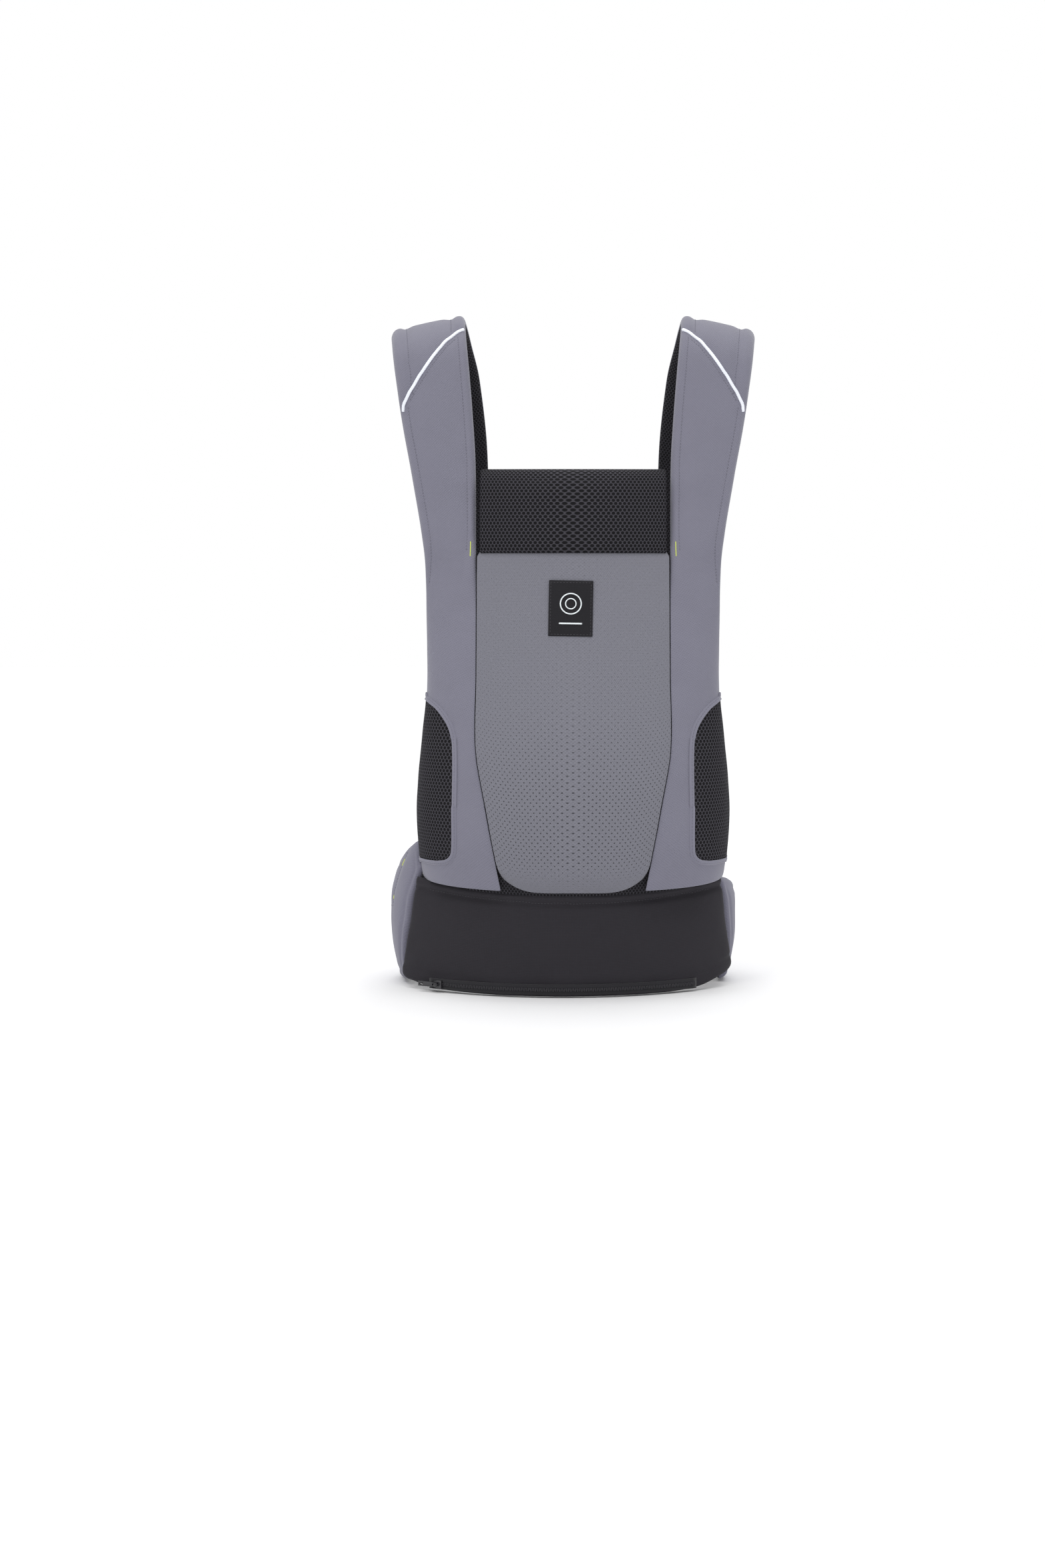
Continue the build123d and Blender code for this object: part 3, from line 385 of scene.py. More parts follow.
def smoothed(piece, levels=1):
    finer = piece.modifiers.new("Subdivision", "SUBSURF")
    finer.levels = finer.render_levels = levels
    return piece


def mirrored(piece, name):
    """The same piece for the other side."""
    data = piece.data.copy()
    data.name = name
    mesh = bmesh.new()
    mesh.from_mesh(data)
    bmesh.ops.scale(mesh, vec=(-1, 1, 1), verts=mesh.verts)
    bmesh.ops.reverse_faces(mesh, faces=mesh.faces)
    mesh.to_mesh(data)
    mesh.free()
    other = bpy.data.objects.new(name, data)
    bpy.context.scene.collection.objects.link(other)
    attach(other, "carrier")
    for modifier in piece.modifiers:
        smoothed(other, modifier.levels)
    return other


def surface_tree(*pieces):
    """The outside of finished pieces, to lay stitches on."""
    graph = bpy.context.evaluated_depsgraph_get()
    mesh = bmesh.new()
    for piece in pieces:
        data = piece.evaluated_get(graph).to_mesh()
        mesh.from_mesh(data)
    tree = BVHTree.FromBMesh(mesh)
    mesh.free()
    return tree


def walk(points, pitch):
    """Places an even distance apart along a line of points, each with its direction."""
    places, carried = [], pitch / 2
    for a, b in zip(points, points[1:]):
        run = (b - a).length
        while carried < run:
            places.append((a.lerp(b, carried / run), (b - a).normalized()))
            carried += pitch
        carried -= run
    return places


def on_surface(tree, point, reach=0.03):
    """The nearest place on a tree of finished pieces, in millimetres, and its outward direction."""
    place, normal, _, _ = tree.find_nearest(point * MM, reach)
    if place is None:
        raise RuntimeError("a stitch has no fabric under it")
    return place / MM, normal


def turned_to(place, along, out):
    across = out.cross(along).normalized()
    along = across.cross(out).normalized()
    return Matrix((
        (along.x, across.x, out.x, place.x), (along.y, across.y, out.y, place.y),
        (along.z, across.z, out.z, place.z), (0, 0, 0, 1)))


def stitching(name, lines, tree, material, pitch=None, length=None, width=None):
    """Rows of thread, each stitch a small bead that dips into the cloth at both ends."""
    sizes = bpy.context.scene.carrier_sizes
    pitch, length = pitch or sizes.stitch_pitch, length or sizes.stitch_length
    width = width or sizes.thread
    mesh = bmesh.new()
    for line in lines:
        for point, along in walk(line, pitch):
            place, out = on_surface(tree, point)
            matrix = turned_to(place, along, out) @ Matrix.Diagonal((length / 2, width / 2, width / 2, 1))
            bmesh.ops.create_uvsphere(mesh, u_segments=6, v_segments=4, radius=1.0,
                                      matrix=matrix @ Matrix.Rotation(pi / 2, 4, "Y"))
    piece = link(name, mesh, [material])
    return piece


def ribbon(name, line, tree, width, thick, materials, segments=4, lift=0.0):
    """A rounded tape that follows a line over the fabric."""
    mesh = bmesh.new()
    rings, points = [], []
    for index, point in enumerate(line):
        nxt, last = line[min(index + 1, len(line) - 1)], line[max(index - 1, 0)]
        place, out = on_surface(tree, point)
        points.append((place, nxt - last, out))
    for place, along, out in points:
        matrix = turned_to(place + out * (lift + thick * 0.15), along.normalized(), out)
        circle = bmesh.ops.create_circle(mesh, segments=4 * segments, radius=1.0, cap_ends=False)["verts"]
        for vert in circle:
            a, b = vert.co.x, vert.co.y
            vert.co = matrix @ Vector((0, width / 2 * copysign(abs(a) ** 0.6, a),
                                       thick / 2 * copysign(abs(b) ** 0.8, b)))
        rings.append(circle)
    for first, second in zip(rings, rings[1:]):
        count = len(first)
        for k in range(count):
            mesh.faces.new((first[k], first[(k + 1) % count], second[(k + 1) % count], second[k]))
    loops = [edge for edge in mesh.edges if len(edge.link_faces) == 1]
    bmesh.ops.holes_fill(mesh, edges=loops)
    bmesh.ops.recalc_face_normals(mesh, faces=mesh.faces)
    return link(name, mesh, materials)


# ---- Materials --------------------------------------------------------------------------------
def linear(code):
    """An sRGB hex colour as linear red, green and blue."""
    parts = [int(code[i:i + 2], 16) / 255 for i in (1, 3, 5)]
    return tuple(c / 12.92 if c <= 0.04045 else ((c + 0.055) / 1.055) ** 2.4 for c in parts)


def toned(colour, share):
    return tuple(c * share for c in colour)


def add(tree, kind, *values, **named):
    """Adds a node. Values go to its inputs in order, capitalised names to inputs by name, the rest to its settings.

    A node given as a value stands for its first output.
    """
    node = tree.nodes.new("ShaderNode" + kind)
    for key, value in named.items():
        if key[0].islower():
            setattr(node, key, value)
    sockets = list(zip(node.inputs, values))
    sockets += [(node.inputs[key.replace("_", " ")], value) for key, value in named.items() if key[0].isupper()]
    for socket, value in sockets:
        if isinstance(value, bpy.types.Node):
            value = value.outputs[0]
        if isinstance(value, bpy.types.NodeSocket):
            tree.links.new(value, socket)
        else:
            socket.default_value = value
    return node


def material_of(name, colour, roughness, **sockets):
    material = bpy.data.materials.new(name)
    material.use_nodes = True
    shader = material.node_tree.nodes["Principled BSDF"]
    shader.inputs["Base Color"].default_value = (*colour, 1)
    shader.inputs["Roughness"].default_value = roughness
    for key, value in sockets.items():
        shader.inputs[key.replace("_", " ")].default_value = value
    return material, material.node_tree, shader


def shade(tree, shader, colour, dark, pattern, height, distance, strength=0.7):
    """Colours the shader from a 0 to 1 pattern, and raises its surface by a height in metres."""
    mix = add(tree, "Mix", pattern, data_type="RGBA")
    mix.inputs[6].default_value, mix.inputs[7].default_value = (*colour, 1), (*dark, 1)
    tree.links.new(mix.outputs[2], shader.inputs["Base Color"])
    bump = add(tree, "Bump", Strength=strength, Distance=distance, Height=height)
    tree.links.new(bump.outputs["Normal"], shader.inputs["Normal"])


def woven(name, colour, pitch, turn, roughness=0.8, contrast=0.25, source="UV", sheen=0.25, relief=0.25,
          patch=45.0, patch_contrast=0.10):
    """A woven cloth: threads at a pitch in millimetres, with the slow tone changes of worn cloth."""
    material, tree, shader = material_of(name, colour, roughness, Sheen_Weight=sheen, Sheen_Roughness=0.5,
                                         Specular_IOR_Level=0.15)
    coords = add(tree, "TexCoord").outputs[source]
    turned = add(tree, "Mapping", Vector=coords, Rotation=(0, 0, radians(turn)))
    wave_scale = 2 * pi / 20 / (pitch * MM)
    warp, weft = (
        add(tree, "TexWave", Vector=turned, Scale=wave_scale * share, Distortion=0.6, Detail=1.0, Detail_Scale=2.0,
            bands_direction=way).outputs["Fac"] for way, share in (("X", 1.0), ("Y", 0.8)))
    threads = add(tree, "Math", warp, weft, operation="MULTIPLY")
    tone = add(tree, "TexNoise", Vector=coords, Scale=1000.0 / patch, Detail=4.0).outputs["Fac"]
    spread = add(tree, "Math", tone, patch_contrast * 3, -patch_contrast * 1.5, operation="MULTIPLY_ADD")
    shown = add(tree, "Math", threads, contrast, operation="MULTIPLY")
    pattern = add(tree, "Math", add(tree, "Math", shown, spread, operation="ADD"), 0.0, operation="MAXIMUM")
    shade(tree, shader, colour, toned(colour, 0.45), pattern, threads, relief * MM)
    return material


def lattice(tree, coords, pitch_u, pitch_v):
    """How far a place is from the nearest of a staggered set of points, in metres."""
    split = add(tree, "SeparateXYZ", coords)
    row = add(tree, "Math", split.outputs[1], pitch_v * MM, operation="DIVIDE")
    odd = add(tree, "Math", add(tree, "Math", row, operation="FLOOR"), 1.0, operation="PINGPONG")
    shift = add(tree, "Math", odd, 0.5, operation="MULTIPLY")
    column = add(tree, "Math", add(tree, "Math", split, pitch_u * MM, operation="DIVIDE"), shift, operation="ADD")
    squares = []
    for place, pitch in ((column, pitch_u), (row, pitch_v)):
        part = add(tree, "Math", place, operation="FRACT")
        away = add(tree, "Math", part, pitch * MM, -pitch * MM / 2, operation="MULTIPLY_ADD")
        squares.append(add(tree, "Math", away, away, operation="MULTIPLY"))
    return add(tree, "Math", add(tree, "Math", *squares, operation="ADD"), operation="SQRT")


def spacer_mesh(name, colour, yarn, pitch):
    """Three-layer knitted mesh: round cells in a raised web of yarn, with painted shade darkening the deep cells
    between.
    """
    material, tree, shader = material_of(name, colour, 0.8, Specular_IOR_Level=0.12)
    coords = add(tree, "TexCoord").outputs["UV"]
    away = lattice(tree, coords, pitch, pitch * 0.72)
    # 1 on the raised yarn and 0 in the cells. The cells take the darker first colour as painted shade in their
    # depth, and the same mask raises the yarn by bump.
    yarn_and_painted_cell_shade = add(tree, "MapRange", away, pitch * 0.24 * MM, pitch * 0.42 * MM, interpolation_type="SMOOTHSTEP")
    shade(tree, shader, colour, yarn, yarn_and_painted_cell_shade, yarn_and_painted_cell_shade, 1.1 * MM, 1.0)
    return material


def perforated_knit(name, colour):
    """Fine knit, with punched air holes that grow towards the seat and fade out above it."""
    material, tree, shader = material_of(name, colour, 0.85, Sheen_Weight=0.2, Sheen_Roughness=0.5,
                                         Specular_IOR_Level=0.15)
    coords = add(tree, "TexCoord")
    uv, height = coords.outputs["UV"], add(tree, "SeparateXYZ", coords.outputs["Object"]).outputs[2]
    rise = add(tree, "MapRange", height, 0.43, 0.20, 0.18, 1.0, interpolation_type="SMOOTHSTEP")
    fade = add(tree, "MapRange", height, 0.118, 0.150, 0.2, 1.0, interpolation_type="SMOOTHSTEP")
    grown = add(tree, "Math", rise, fade, operation="MULTIPLY")
    radius = add(tree, "Math", grown, 0.55 * MM, operation="MULTIPLY")
    edge = add(tree, "Math", radius, 0.45 * MM, operation="ADD")
    hole = add(tree, "MapRange", lattice(tree, uv, 6.4, 3.5), edge, radius, interpolation_type="SMOOTHSTEP")
    purl = add(tree, "MapRange", lattice(tree, uv, 2.1, 1.7), 1.1 * MM, 0.2 * MM)
    tone = add(tree, "TexNoise", Vector=uv, Scale=420.0, Detail=3.0).outputs["Fac"]
    yarn = add(tree, "Math", purl, 0.18, operation="MULTIPLY")
    patches = add(tree, "Math", tone, 0.22, operation="MULTIPLY")
    pattern = add(tree, "Math", yarn, patches, operation="ADD")
    deep = add(tree, "Math", hole, add(tree, "Math", rise, 0.8, operation="MULTIPLY"), operation="MULTIPLY")
    strong = add(tree, "Math", pattern, deep, operation="MAXIMUM")
    relief = add(tree, "Math", add(tree, "Math", purl, 0.3, operation="MULTIPLY"), hole, operation="SUBTRACT")
    shade(tree, shader, colour, toned(colour, 0.12), strong, relief, 0.5 * MM, 0.8)
    return material


def webbing(name, colour, run, pitch=1.7):
    """Narrow woven tape: ribs across its run, split into chevrons by its lengthwise threads."""
    material, tree, shader = material_of(name, colour, 0.6, Specular_IOR_Level=0.3)
    coords = add(tree, "TexCoord").outputs["Object"]
    side = Vector(run).cross((0.31, 0.87, 0.38)).normalized()
    waves = []
    for way, spacing in ((run, pitch), (side, 2.4)):
        along = add(tree, "VectorMath", coords, way, operation="DOT_PRODUCT").outputs["Value"]
        turns = add(tree, "Math", along, 2 * pi / (spacing * MM), operation="MULTIPLY")
        waves.append(add(tree, "Math", turns, operation="SINE"))
    height = add(tree, "Math", add(tree, "Math", *waves, operation="MULTIPLY"), 0.5, 0.5, operation="MULTIPLY_ADD")
    shade(tree, shader, colour, toned(colour, 2.6), height, height, 0.35 * MM)
    return material


def moulded(name, colour, roughness, grain, relief, **sockets):
    """A moulded or cast part with a fine even grain from its mould."""
    material, tree, shader = material_of(name, colour, roughness, **sockets)
    coords = add(tree, "TexCoord").outputs["Object"]
    fine, slow = (add(tree, "TexNoise", Vector=coords, Scale=scale, Detail=2.0).outputs["Fac"]
                  for scale in (1000.0 / grain, 60.0))
    patches = add(tree, "Math", slow, 0.5, operation="MULTIPLY")
    shade(tree, shader, colour, toned(colour, 1.5), patches, fine, relief * MM, 0.5)
    return material


def finishes():
    """Every finish by name. Made once and then shared."""
    if finishes.made:
        return finishes.made
    colours = bpy.context.scene.carrier_colours
    grey, black = tuple(colours.strap_grey), tuple(colours.black)
    run = (0.0, -cos(UNDERARM_FALL), -sin(UNDERARM_FALL))
    finishes.made.update({
        # Matt cotton and polyester twill: a faint diagonal, a little sheen at the folds.
        "twill": woven("polyester_twill", grey, 1.7, 35.0),
        # The belt's facing is the same twill, sewn over thicker foam.
        "belt_twill": woven("polyester_twill_belt", tuple(colours.belt_grey), 1.7, 35.0, patch=30.0),
        # Plain-woven black polyester with a fine calendered face: dull, slightly brown in the light.
        "pouch": woven("polyester_plain_weave", tuple(colours.pouch_black), 1.3, 0.0, roughness=0.72, sheen=0.04,
                       contrast=0.35, relief=0.15, patch=60.0),
        "knit": perforated_knit("perforated_knit", tuple(colours.panel_grey)),
        # The first colour of each spacer mesh, darker than its black, is painted shade in the deep cells. The
        # second is its yarn.
        "mesh": spacer_mesh("spacer_mesh", toned(black, 0.35), toned(black, 2.6), 4.8),
        "lining": spacer_mesh("spacer_mesh_lining", toned(black, 0.45), toned(black, 2.0), 3.6),
        # Retroreflective tape rolled round a cord: pale, smooth and brighter than cloth.
        "piping": moulded("retroreflective_tape", tuple(colours.piping), 0.38, 0.5, 0.03, Sheen_Weight=0.1),
        "thread": moulded("bonded_polyester_thread", toned(grey, 0.62), 0.6, 0.3, 0.04),
        "black_thread": moulded("black_polyester_thread", toned(black, 1.7), 0.6, 0.3, 0.04),
        "lime_thread": moulded("lime_polyester_thread", tuple(colours.lime), 0.6, 0.3, 0.04),
        "label": woven("damask_woven_label", toned(black, 0.8), 0.9, 0.0, roughness=0.65, sheen=0.02,
                       contrast=0.4, relief=0.08),
        "print": moulded("label_weave_pale", tuple(colours.label_pale), 0.7, 0.4, 0.05),
        "strap_webbing": webbing("polypropylene_webbing_arm", black, run),
        "waist_webbing": webbing("polypropylene_webbing_waist", black, (1.0, 0.0, 0.0)),
        "elastic": webbing("knitted_elastic", toned(black, 1.3), run, 1.1),
        # Acetal from a spark-eroded mould: black, satin, with a tight grain.
        "acetal": moulded("moulded_acetal", toned(black, 0.9), 0.42, 0.6, 0.05),
        "zip_tape": woven("woven_zip_tape", toned(black, 0.9), 1.0, 0.0, roughness=0.75),
        "zip_coil": moulded("nylon_zip_coil", toned(black, 1.4), 0.4, 0.4, 0.03),
        "zip_metal": moulded("enamelled_zinc", toned(black, 1.1), 0.3, 0.5, 0.02, Coat_Weight=0.4),
    })
    return finishes.made


finishes.made = {}


# ---- What a user would change -------------------------------------------------------------------
def colour_property(name, code, description):
    return FloatVectorProperty(name=name, description=description, subtype="COLOR", size=3,
                               min=0.0, max=1.0, default=linear(code))


class CarrierColours(bpy.types.PropertyGroup):
    """Colours of the carrier's cloth and trim."""
    strap_grey: colour_property("Strap grey", "#7f7e8c", "Colour of the straps and the side panels")
    belt_grey: colour_property("Belt grey", "#7a7988", "Colour of the padded waist belt")
    panel_grey: colour_property("Panel grey", "#85858f", "Colour of the knitted centre panel")
    pouch_black: colour_property("Pouch black", "#302e33", "Colour of the waist pouch")
    black: colour_property("Black", "#29282c", "Colour of mesh, webbing and plastic")
    piping: colour_property("Piping", "#e6e9f1", "Colour of the reflective piping")
    lime: colour_property("Lime", "#d3e05f", "Colour of the bar tacks")
    label_pale: colour_property("Label mark", "#dfe5e8", "Colour of the mark on the label")


class CarrierSizes(bpy.types.PropertyGroup):
    """Sewing sizes of the carrier, in millimetres."""
    stitch_pitch: FloatProperty(name="Stitch pitch", description="Distance from stitch to stitch, mm", default=3.4)
    stitch_length: FloatProperty(name="Stitch length", description="Length of thread that shows, mm", default=2.5)
    thread: FloatProperty(name="Thread", description="Thickness of the thread, mm", default=0.75)
    edge_stitch: FloatProperty(name="Edge stitch", description="Topstitch from the strap's edge, mm", default=9.0)
    channel: FloatProperty(name="Channel", description="Width of the padded edge channels, mm", default=16.0)
    binding: FloatProperty(name="Binding", description="Width of the binding on the mesh windows, mm", default=6.0)
    pressure: FloatProperty(name="Fill pressure", description="How hard the padding presses outwards", default=4.0)


def stitch_press(distance, depth, half_width=3.5):
    """How far a sewn line presses its pad in, and whether it holds it there."""
    share = max(0.0, 1 - abs(distance) / half_width)
    return depth * share * share * (3 - 2 * share), 1.0 if abs(distance) < 1.6 else 0.0


def strongest(marks):
    """The deepest press and the firmest hold of several sewn lines."""
    return tuple(max(values) for values in zip(*marks))


# The stitched line that runs just below the piping.
DIAGONAL_GAP = 8.0
# The piping crosses the front of the strap from the neck edge to the outer edge.
PIPING_LINE = ((0.0, 250.0), (0.15, 244.0), (0.35, 229.0), (0.55, 211.0), (0.75, 193.0), (1.0, 166.0))


def piping_along(across):
    return between(PIPING_LINE, across)[0]


def strap_marks(u, v, edge):
    sizes = bpy.context.scene.carrier_sizes
    along = v * (PANEL_RUN + STRAP_RUN) - PANEL_RUN
    inner, outer = between(STRAP_EDGES, along)
    near, far = u * (outer - inner), (1 - u) * (outer - inner)
    if along < -30:
        return 0.0, 1.0
    below = along < piping_along(u) - DIAGONAL_GAP
    inset, depth, reach = (sizes.edge_stitch, 1.6, 3.5) if below else (sizes.channel, 3.4, 5.5)
    marks = [stitch_press(side - inset, depth, reach) for side in (near, far)]
    marks.append(stitch_press(along - piping_along(u) + DIAGONAL_GAP, 2.4))
    marks.append(stitch_press(along - piping_along(u), 2.8, 5.0))
    marks.append((0.0, 1.0 if along < -10 else 0.0))
    return strongest(marks)


def strap_thickness(u, v):
    along = v * (PANEL_RUN + STRAP_RUN) - PANEL_RUN
    return STRAP_THICKNESS * (0.42 + 0.58 * smoothstep(-60.0, 60.0, along)) if along > -60 else 7.0


def strap_line(across, first, last, step=4.0):
    """A line along the strap, at a place across it that may depend on the length along."""
    count = ceil(abs(last - first) / step)
    places = []
    for k in range(count + 1):
        along = first + (last - first) * k / count
        u = across(along) if callable(across) else across
        places.append(strap_place(u, along, 0.0))
    return places


def inset_line(distance, from_outer):
    def across(along):
        inner, outer = between(STRAP_EDGES, along)
        share = distance / (outer - inner)
        return 1 - share if from_outer else share
    return across


# ---- Operators: one for each piece or group of like pieces ----------------------------------------
class CARRIER_OT_body(bpy.types.Operator):
    """Centre panel, its mesh lining and the padded headrest"""
    bl_idname = "carrier.body"
    bl_label = "Body Panel"

    def execute(self, context):
        made = finishes()
        panel = pad("centre_panel", 56, 84, centre_surface, 3.0, 3.2, [made["knit"]], crumple=0.35)
        smoothed(panel)
        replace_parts(panel, "center_panel")
        lining = pad("body_lining_sheet", 40, 60, lining_surface, 2.0, 2.4, [made["lining"]], crumple=0.3)
        smoothed(lining)
        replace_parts(lining, "body_lining")
        headrest = pad("headrest", 44, 22, headrest_surface, 14.0, 9.0, [made["mesh"]], crumple=0.5)
        settle(headrest, context.scene.carrier_sizes.pressure * 0.6, 3.0)
        smoothed(headrest)
        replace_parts(headrest, "headrest_cover", "headrest_foam")
        return {"FINISHED"}


class CARRIER_OT_straps(bpy.types.Operator):
    """Padded shoulder straps that run down into the side panels, with piping and topstitching"""
    bl_idname = "carrier.straps"
    bl_label = "Shoulder Straps"

    def execute(self, context):
        made, sizes = finishes(), context.scene.carrier_sizes
        strap = pad("strap_r", 22, 196, strap_surface, strap_thickness, 8.0, [made["twill"], made["lining"]],
                    marks=strap_marks, crumple=0.7)
        settle(strap, sizes.pressure, 3.5)
        smoothed(strap)
        other = mirrored(strap, "strap_l")
        for side, piece in (("r", strap), ("l", other)):
            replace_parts(piece, f"strap_cover_{side}", f"strap_foam_{side}", f"strap_lining_{side}",
                        f"side_panel_{side}")
        tree = surface_tree(strap)
        edge = sizes.edge_stitch
        rows = []
        for from_outer in (False, True):
            across = inset_line(edge, from_outer)
            stop = piping_along(across(200.0)) - DIAGONAL_GAP
            rows.append(strap_line(across, -30.0 if from_outer else 4.0, stop))
            rows.append(strap_line(inset_line(sizes.channel, from_outer),
                                   piping_along(across(200.0)) + 3.0, STRAP_RUN - 30.0))
        rows.append([strap_place(k / 20, piping_along(k / 20) - DIAGONAL_GAP, 0.0) for k in range(3, 18)])
        thread = stitching("topstitch_r", rows, tree, made["thread"])
        line = [strap_place(k / 40, piping_along(k / 40), 0.0) for k in range(41)]
        cord = ribbon("reflective_piping_r", line, tree, 3.4, 2.6, [made["piping"]])
        tack = stitching("bar_tack_r", [[strap_place(0.09, k * 2.0 - 1.0, 0.0) for k in range(8)]], tree,
                         made["lime_thread"], pitch=0.8, length=2.6, width=1.0)
        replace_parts(cord, "piping_r")
        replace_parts(mirrored(cord, "reflective_piping_l"), "piping_l")
        for piece, name in ((thread, "topstitch_l"), (tack, "bar_tack_l")):
            mirrored(piece, name)
        return {"FINISHED"}


WINDOW_EDGE = ((138.5, 146.0), (140.5, 135.5), (145.0, 128.5), (153.5, 125.3), (200.0, 125.0), (265.0, 125.0),
               (285.0, 129.0), (303.0, 141.0), (312.0, 152.0), (317.0, 160.0))


def window_surface(u, v, depth):
    """The mesh window on the flank; u runs from its sewn edge to the edge of the panel."""
    z = WINDOW_FOOT + v * (WINDOW_HEAD - WINDOW_FOOT)
    start = angle_at(BODY_LEVELS, z, min(between(WINDOW_EDGE, z)[0], between(BODY_LEVELS, z)[0] - 2.0))
    return shell(BODY_LEVELS, z, start + u * (pi / 2 - 0.01 - start), depth - 1.0)


class CARRIER_OT_windows(bpy.types.Operator):
    """Mesh windows in the flanks, their binding and its stitching"""
    bl_idname = "carrier.windows"
    bl_label = "Mesh Windows"

    def execute(self, context):
        made, sizes = finishes(), context.scene.carrier_sizes
        window = pad("mesh_window_r", 16, 44, window_surface, 3.0, 3.0, [made["mesh"]], crumple=0.4)
        smoothed(window)
        other = mirrored(window, "mesh_window_l")
        for side, piece in (("r", window), ("l", other)):
            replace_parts(piece, f"side_mesh_{side}")
        tree = surface_tree(bpy.data.objects["strap_r"], window)
        edge = [window_surface(0.0, k / 90, 0.0) for k in range(91)]
        low, high = edge[0].z, edge[-1].z
        foot = [shell(BODY_LEVELS, low, pi / 2 - 0.02 - k * 0.06, -1.0) for k in range(30)]
        foot = [point for point in foot if point.x > edge[0].x + 2.0 or point.y > edge[0].y + 2.0]
        head = [shell(BODY_LEVELS, high + k, angle_at(BODY_LEVELS, high + k, 157.9), -1.0) for k in range(1, 3)]
        line = foot + edge + head
        binding = ribbon("window_binding_r", line, tree, sizes.binding, 2.6, [made["twill"]])
        mirrored(binding, "window_binding_l")
        thread = stitching("binding_stitch_r", [line], surface_tree(binding), made["thread"], width=0.6)
        mirrored(thread, "binding_stitch_l")
        return {"FINISHED"}


def wing_marks(side):
    surface = wing_surface(side)

    def marks(u, v, edge):
        z = surface(u, v, 0.0).z
        channel = stitch_press((u - WING_CHANNEL) * WING_RUN, 3.0, 5.0)
        across = stitch_press(z - WING_SEAM_Z, 2.6, 5.0) if u > WING_CHANNEL * 0.9 else (0.0, 0.0)
        rim = stitch_press(edge - 9.0, 1.6)
        return strongest([channel, across, rim])
    return marks


def pouch_marks(u, v, edge):
    point = pouch_surface(u, v, 0.0)
    above_foot = point.z - between(POUCH_FOOT, point.x)[0]
    return strongest([stitch_press(hem_z(point.x) - point.z - HEM_DEPTH, 3.2, 4.0),
                      stitch_press(above_foot - 15.0, 1.4, 4.0)])


class CARRIER_OT_belt(bpy.types.Operator):
    """Waist pouch, the padded wings of the belt and their sewn channels"""
    bl_idname = "carrier.belt"
    bl_label = "Waist Belt"

    def execute(self, context):
        made, sizes = finishes(), context.scene.carrier_sizes
        pouch = pad("waist_pouch_bag", 84, 30, pouch_surface, 11.0, 5.0, [made["pouch"]],
                    marks=pouch_marks, crumple=1.1)
        settle(pouch, sizes.pressure * 0.7, 3.0)
        smoothed(pouch)
        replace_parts(pouch, "waist_pouch")
        tree = surface_tree(pouch)
        hem = []
        for k in range(5, 96):
            point = pouch_surface(k / 100, 1.0, 0.0)
            hem.append(belt_place(belt_length(point.x), point.z - HEM_DEPTH, 0.0))
        stitching("pouch_hem_stitch", [hem], tree, made["black_thread"])
        for side in "lr":
            wing = pad(f"belt_wing_pad_{side}", 44, 26, wing_surface(side), 13.0, 8.0,
                       [made["belt_twill"], made["lining"]], marks=wing_marks(side), crumple=0.8)
            settle(wing, sizes.pressure, 3.5)
            smoothed(wing)
            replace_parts(wing, f"belt_wing_{side}", f"belt_pad_{side}")
            tree = surface_tree(wing)
            place = wing_surface(side)
            across = [place(WING_CHANNEL, 0.06 + 0.88 * k / 40, 0.0) for k in range(41)]
            along = []
            for k in range(60):
                u = 0.23 + 0.74 * k / 59
                top, foot = place(u, 1.0, 0.0), place(u, 0.0, 0.0)
                along.append(place(u, (WING_SEAM_Z - foot.z) / (top.z - foot.z), 0.0))
            along = [point for point in along if point.z < WING_SEAM_Z + 1.0]
            stitching(f"belt_stitch_{side}", [across, along], tree, made["thread"])
            if side == "l":
                stitching("belt_tack_l", [across[36:39], across[25:27]], tree, made["lime_thread"], pitch=0.8,
                          length=2.4, width=1.0)
        return {"FINISHED"}


class CARRIER_OT_zip(bpy.types.Operator):
    """Tape and coil of the pouch's zip"""
    bl_idname = "carrier.zip"
    bl_label = "Zip"

    def execute(self, context):
        made = finishes()
        mesh = bmesh.new()
        count = 64
        for step in range(count):
            first, last = (-ZIP_HALF + 2 * ZIP_HALF * k / count for k in (step, step + 1))
            block = bmesh.ops.create_cube(mesh, size=1.0)["verts"]
            for vert in block:
                t = last if vert.co.x > 0 else first
                vert.co = belt_place(t, ZIP_Z + 11.0 * vert.co.y, -0.45 - 0.7 * vert.co.z)
        bmesh.ops.remove_doubles(mesh, verts=mesh.verts, dist=0.001)
        inside = [face for face in mesh.faces if all(len(edge.link_faces) > 2 for edge in face.edges)]
        bmesh.ops.delete(mesh, geom=inside, context="FACES_ONLY")
        bmesh.ops.recalc_face_normals(mesh, faces=mesh.faces)
        tape = link("zip_tape", mesh, [made["zip_tape"]])
        mesh = bmesh.new()
        teeth = int(2 * ZIP_HALF / TOOTH_PITCH)
        for tooth in range(teeth):
            t = -ZIP_HALF + TOOTH_PITCH * (tooth + 0.5)
            centre = belt_place(t, ZIP_Z, -1.55)
            out = (belt_place(t, ZIP_Z, -5.0) - centre).normalized()
            matrix = turned_to(centre, Vector((0, 0, 1)), out)
            tilt = Matrix.Rotation(radians(8 if tooth % 2 else -8), 4, "Z")
            bmesh.ops.create_uvsphere(mesh, u_segments=8, v_segments=4, radius=1.0,
                                      matrix=matrix @ tilt @ Matrix.Diagonal((2.1, 0.72, 0.7, 1)))
        coil = link("zip_coil", mesh, [made["zip_coil"]])
        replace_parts(coil, "zip_chain")
        return {"FINISHED"}


LABEL_X, LABEL_Z, LABEL_WIDTH, LABEL_HEIGHT, LABEL_TURN = -2.5, 410.0, 46.5, 59.5, radians(-1)


def label_place(a, b, depth):
    """A place on the label, a across it and b up it from its middle."""
    x = LABEL_X + a * cos(LABEL_TURN) - b * sin(LABEL_TURN)
    z = LABEL_Z + a * sin(LABEL_TURN) + b * cos(LABEL_TURN)
    return shell(BODY_LEVELS, z, angle_at(BODY_LEVELS, z, x), depth)


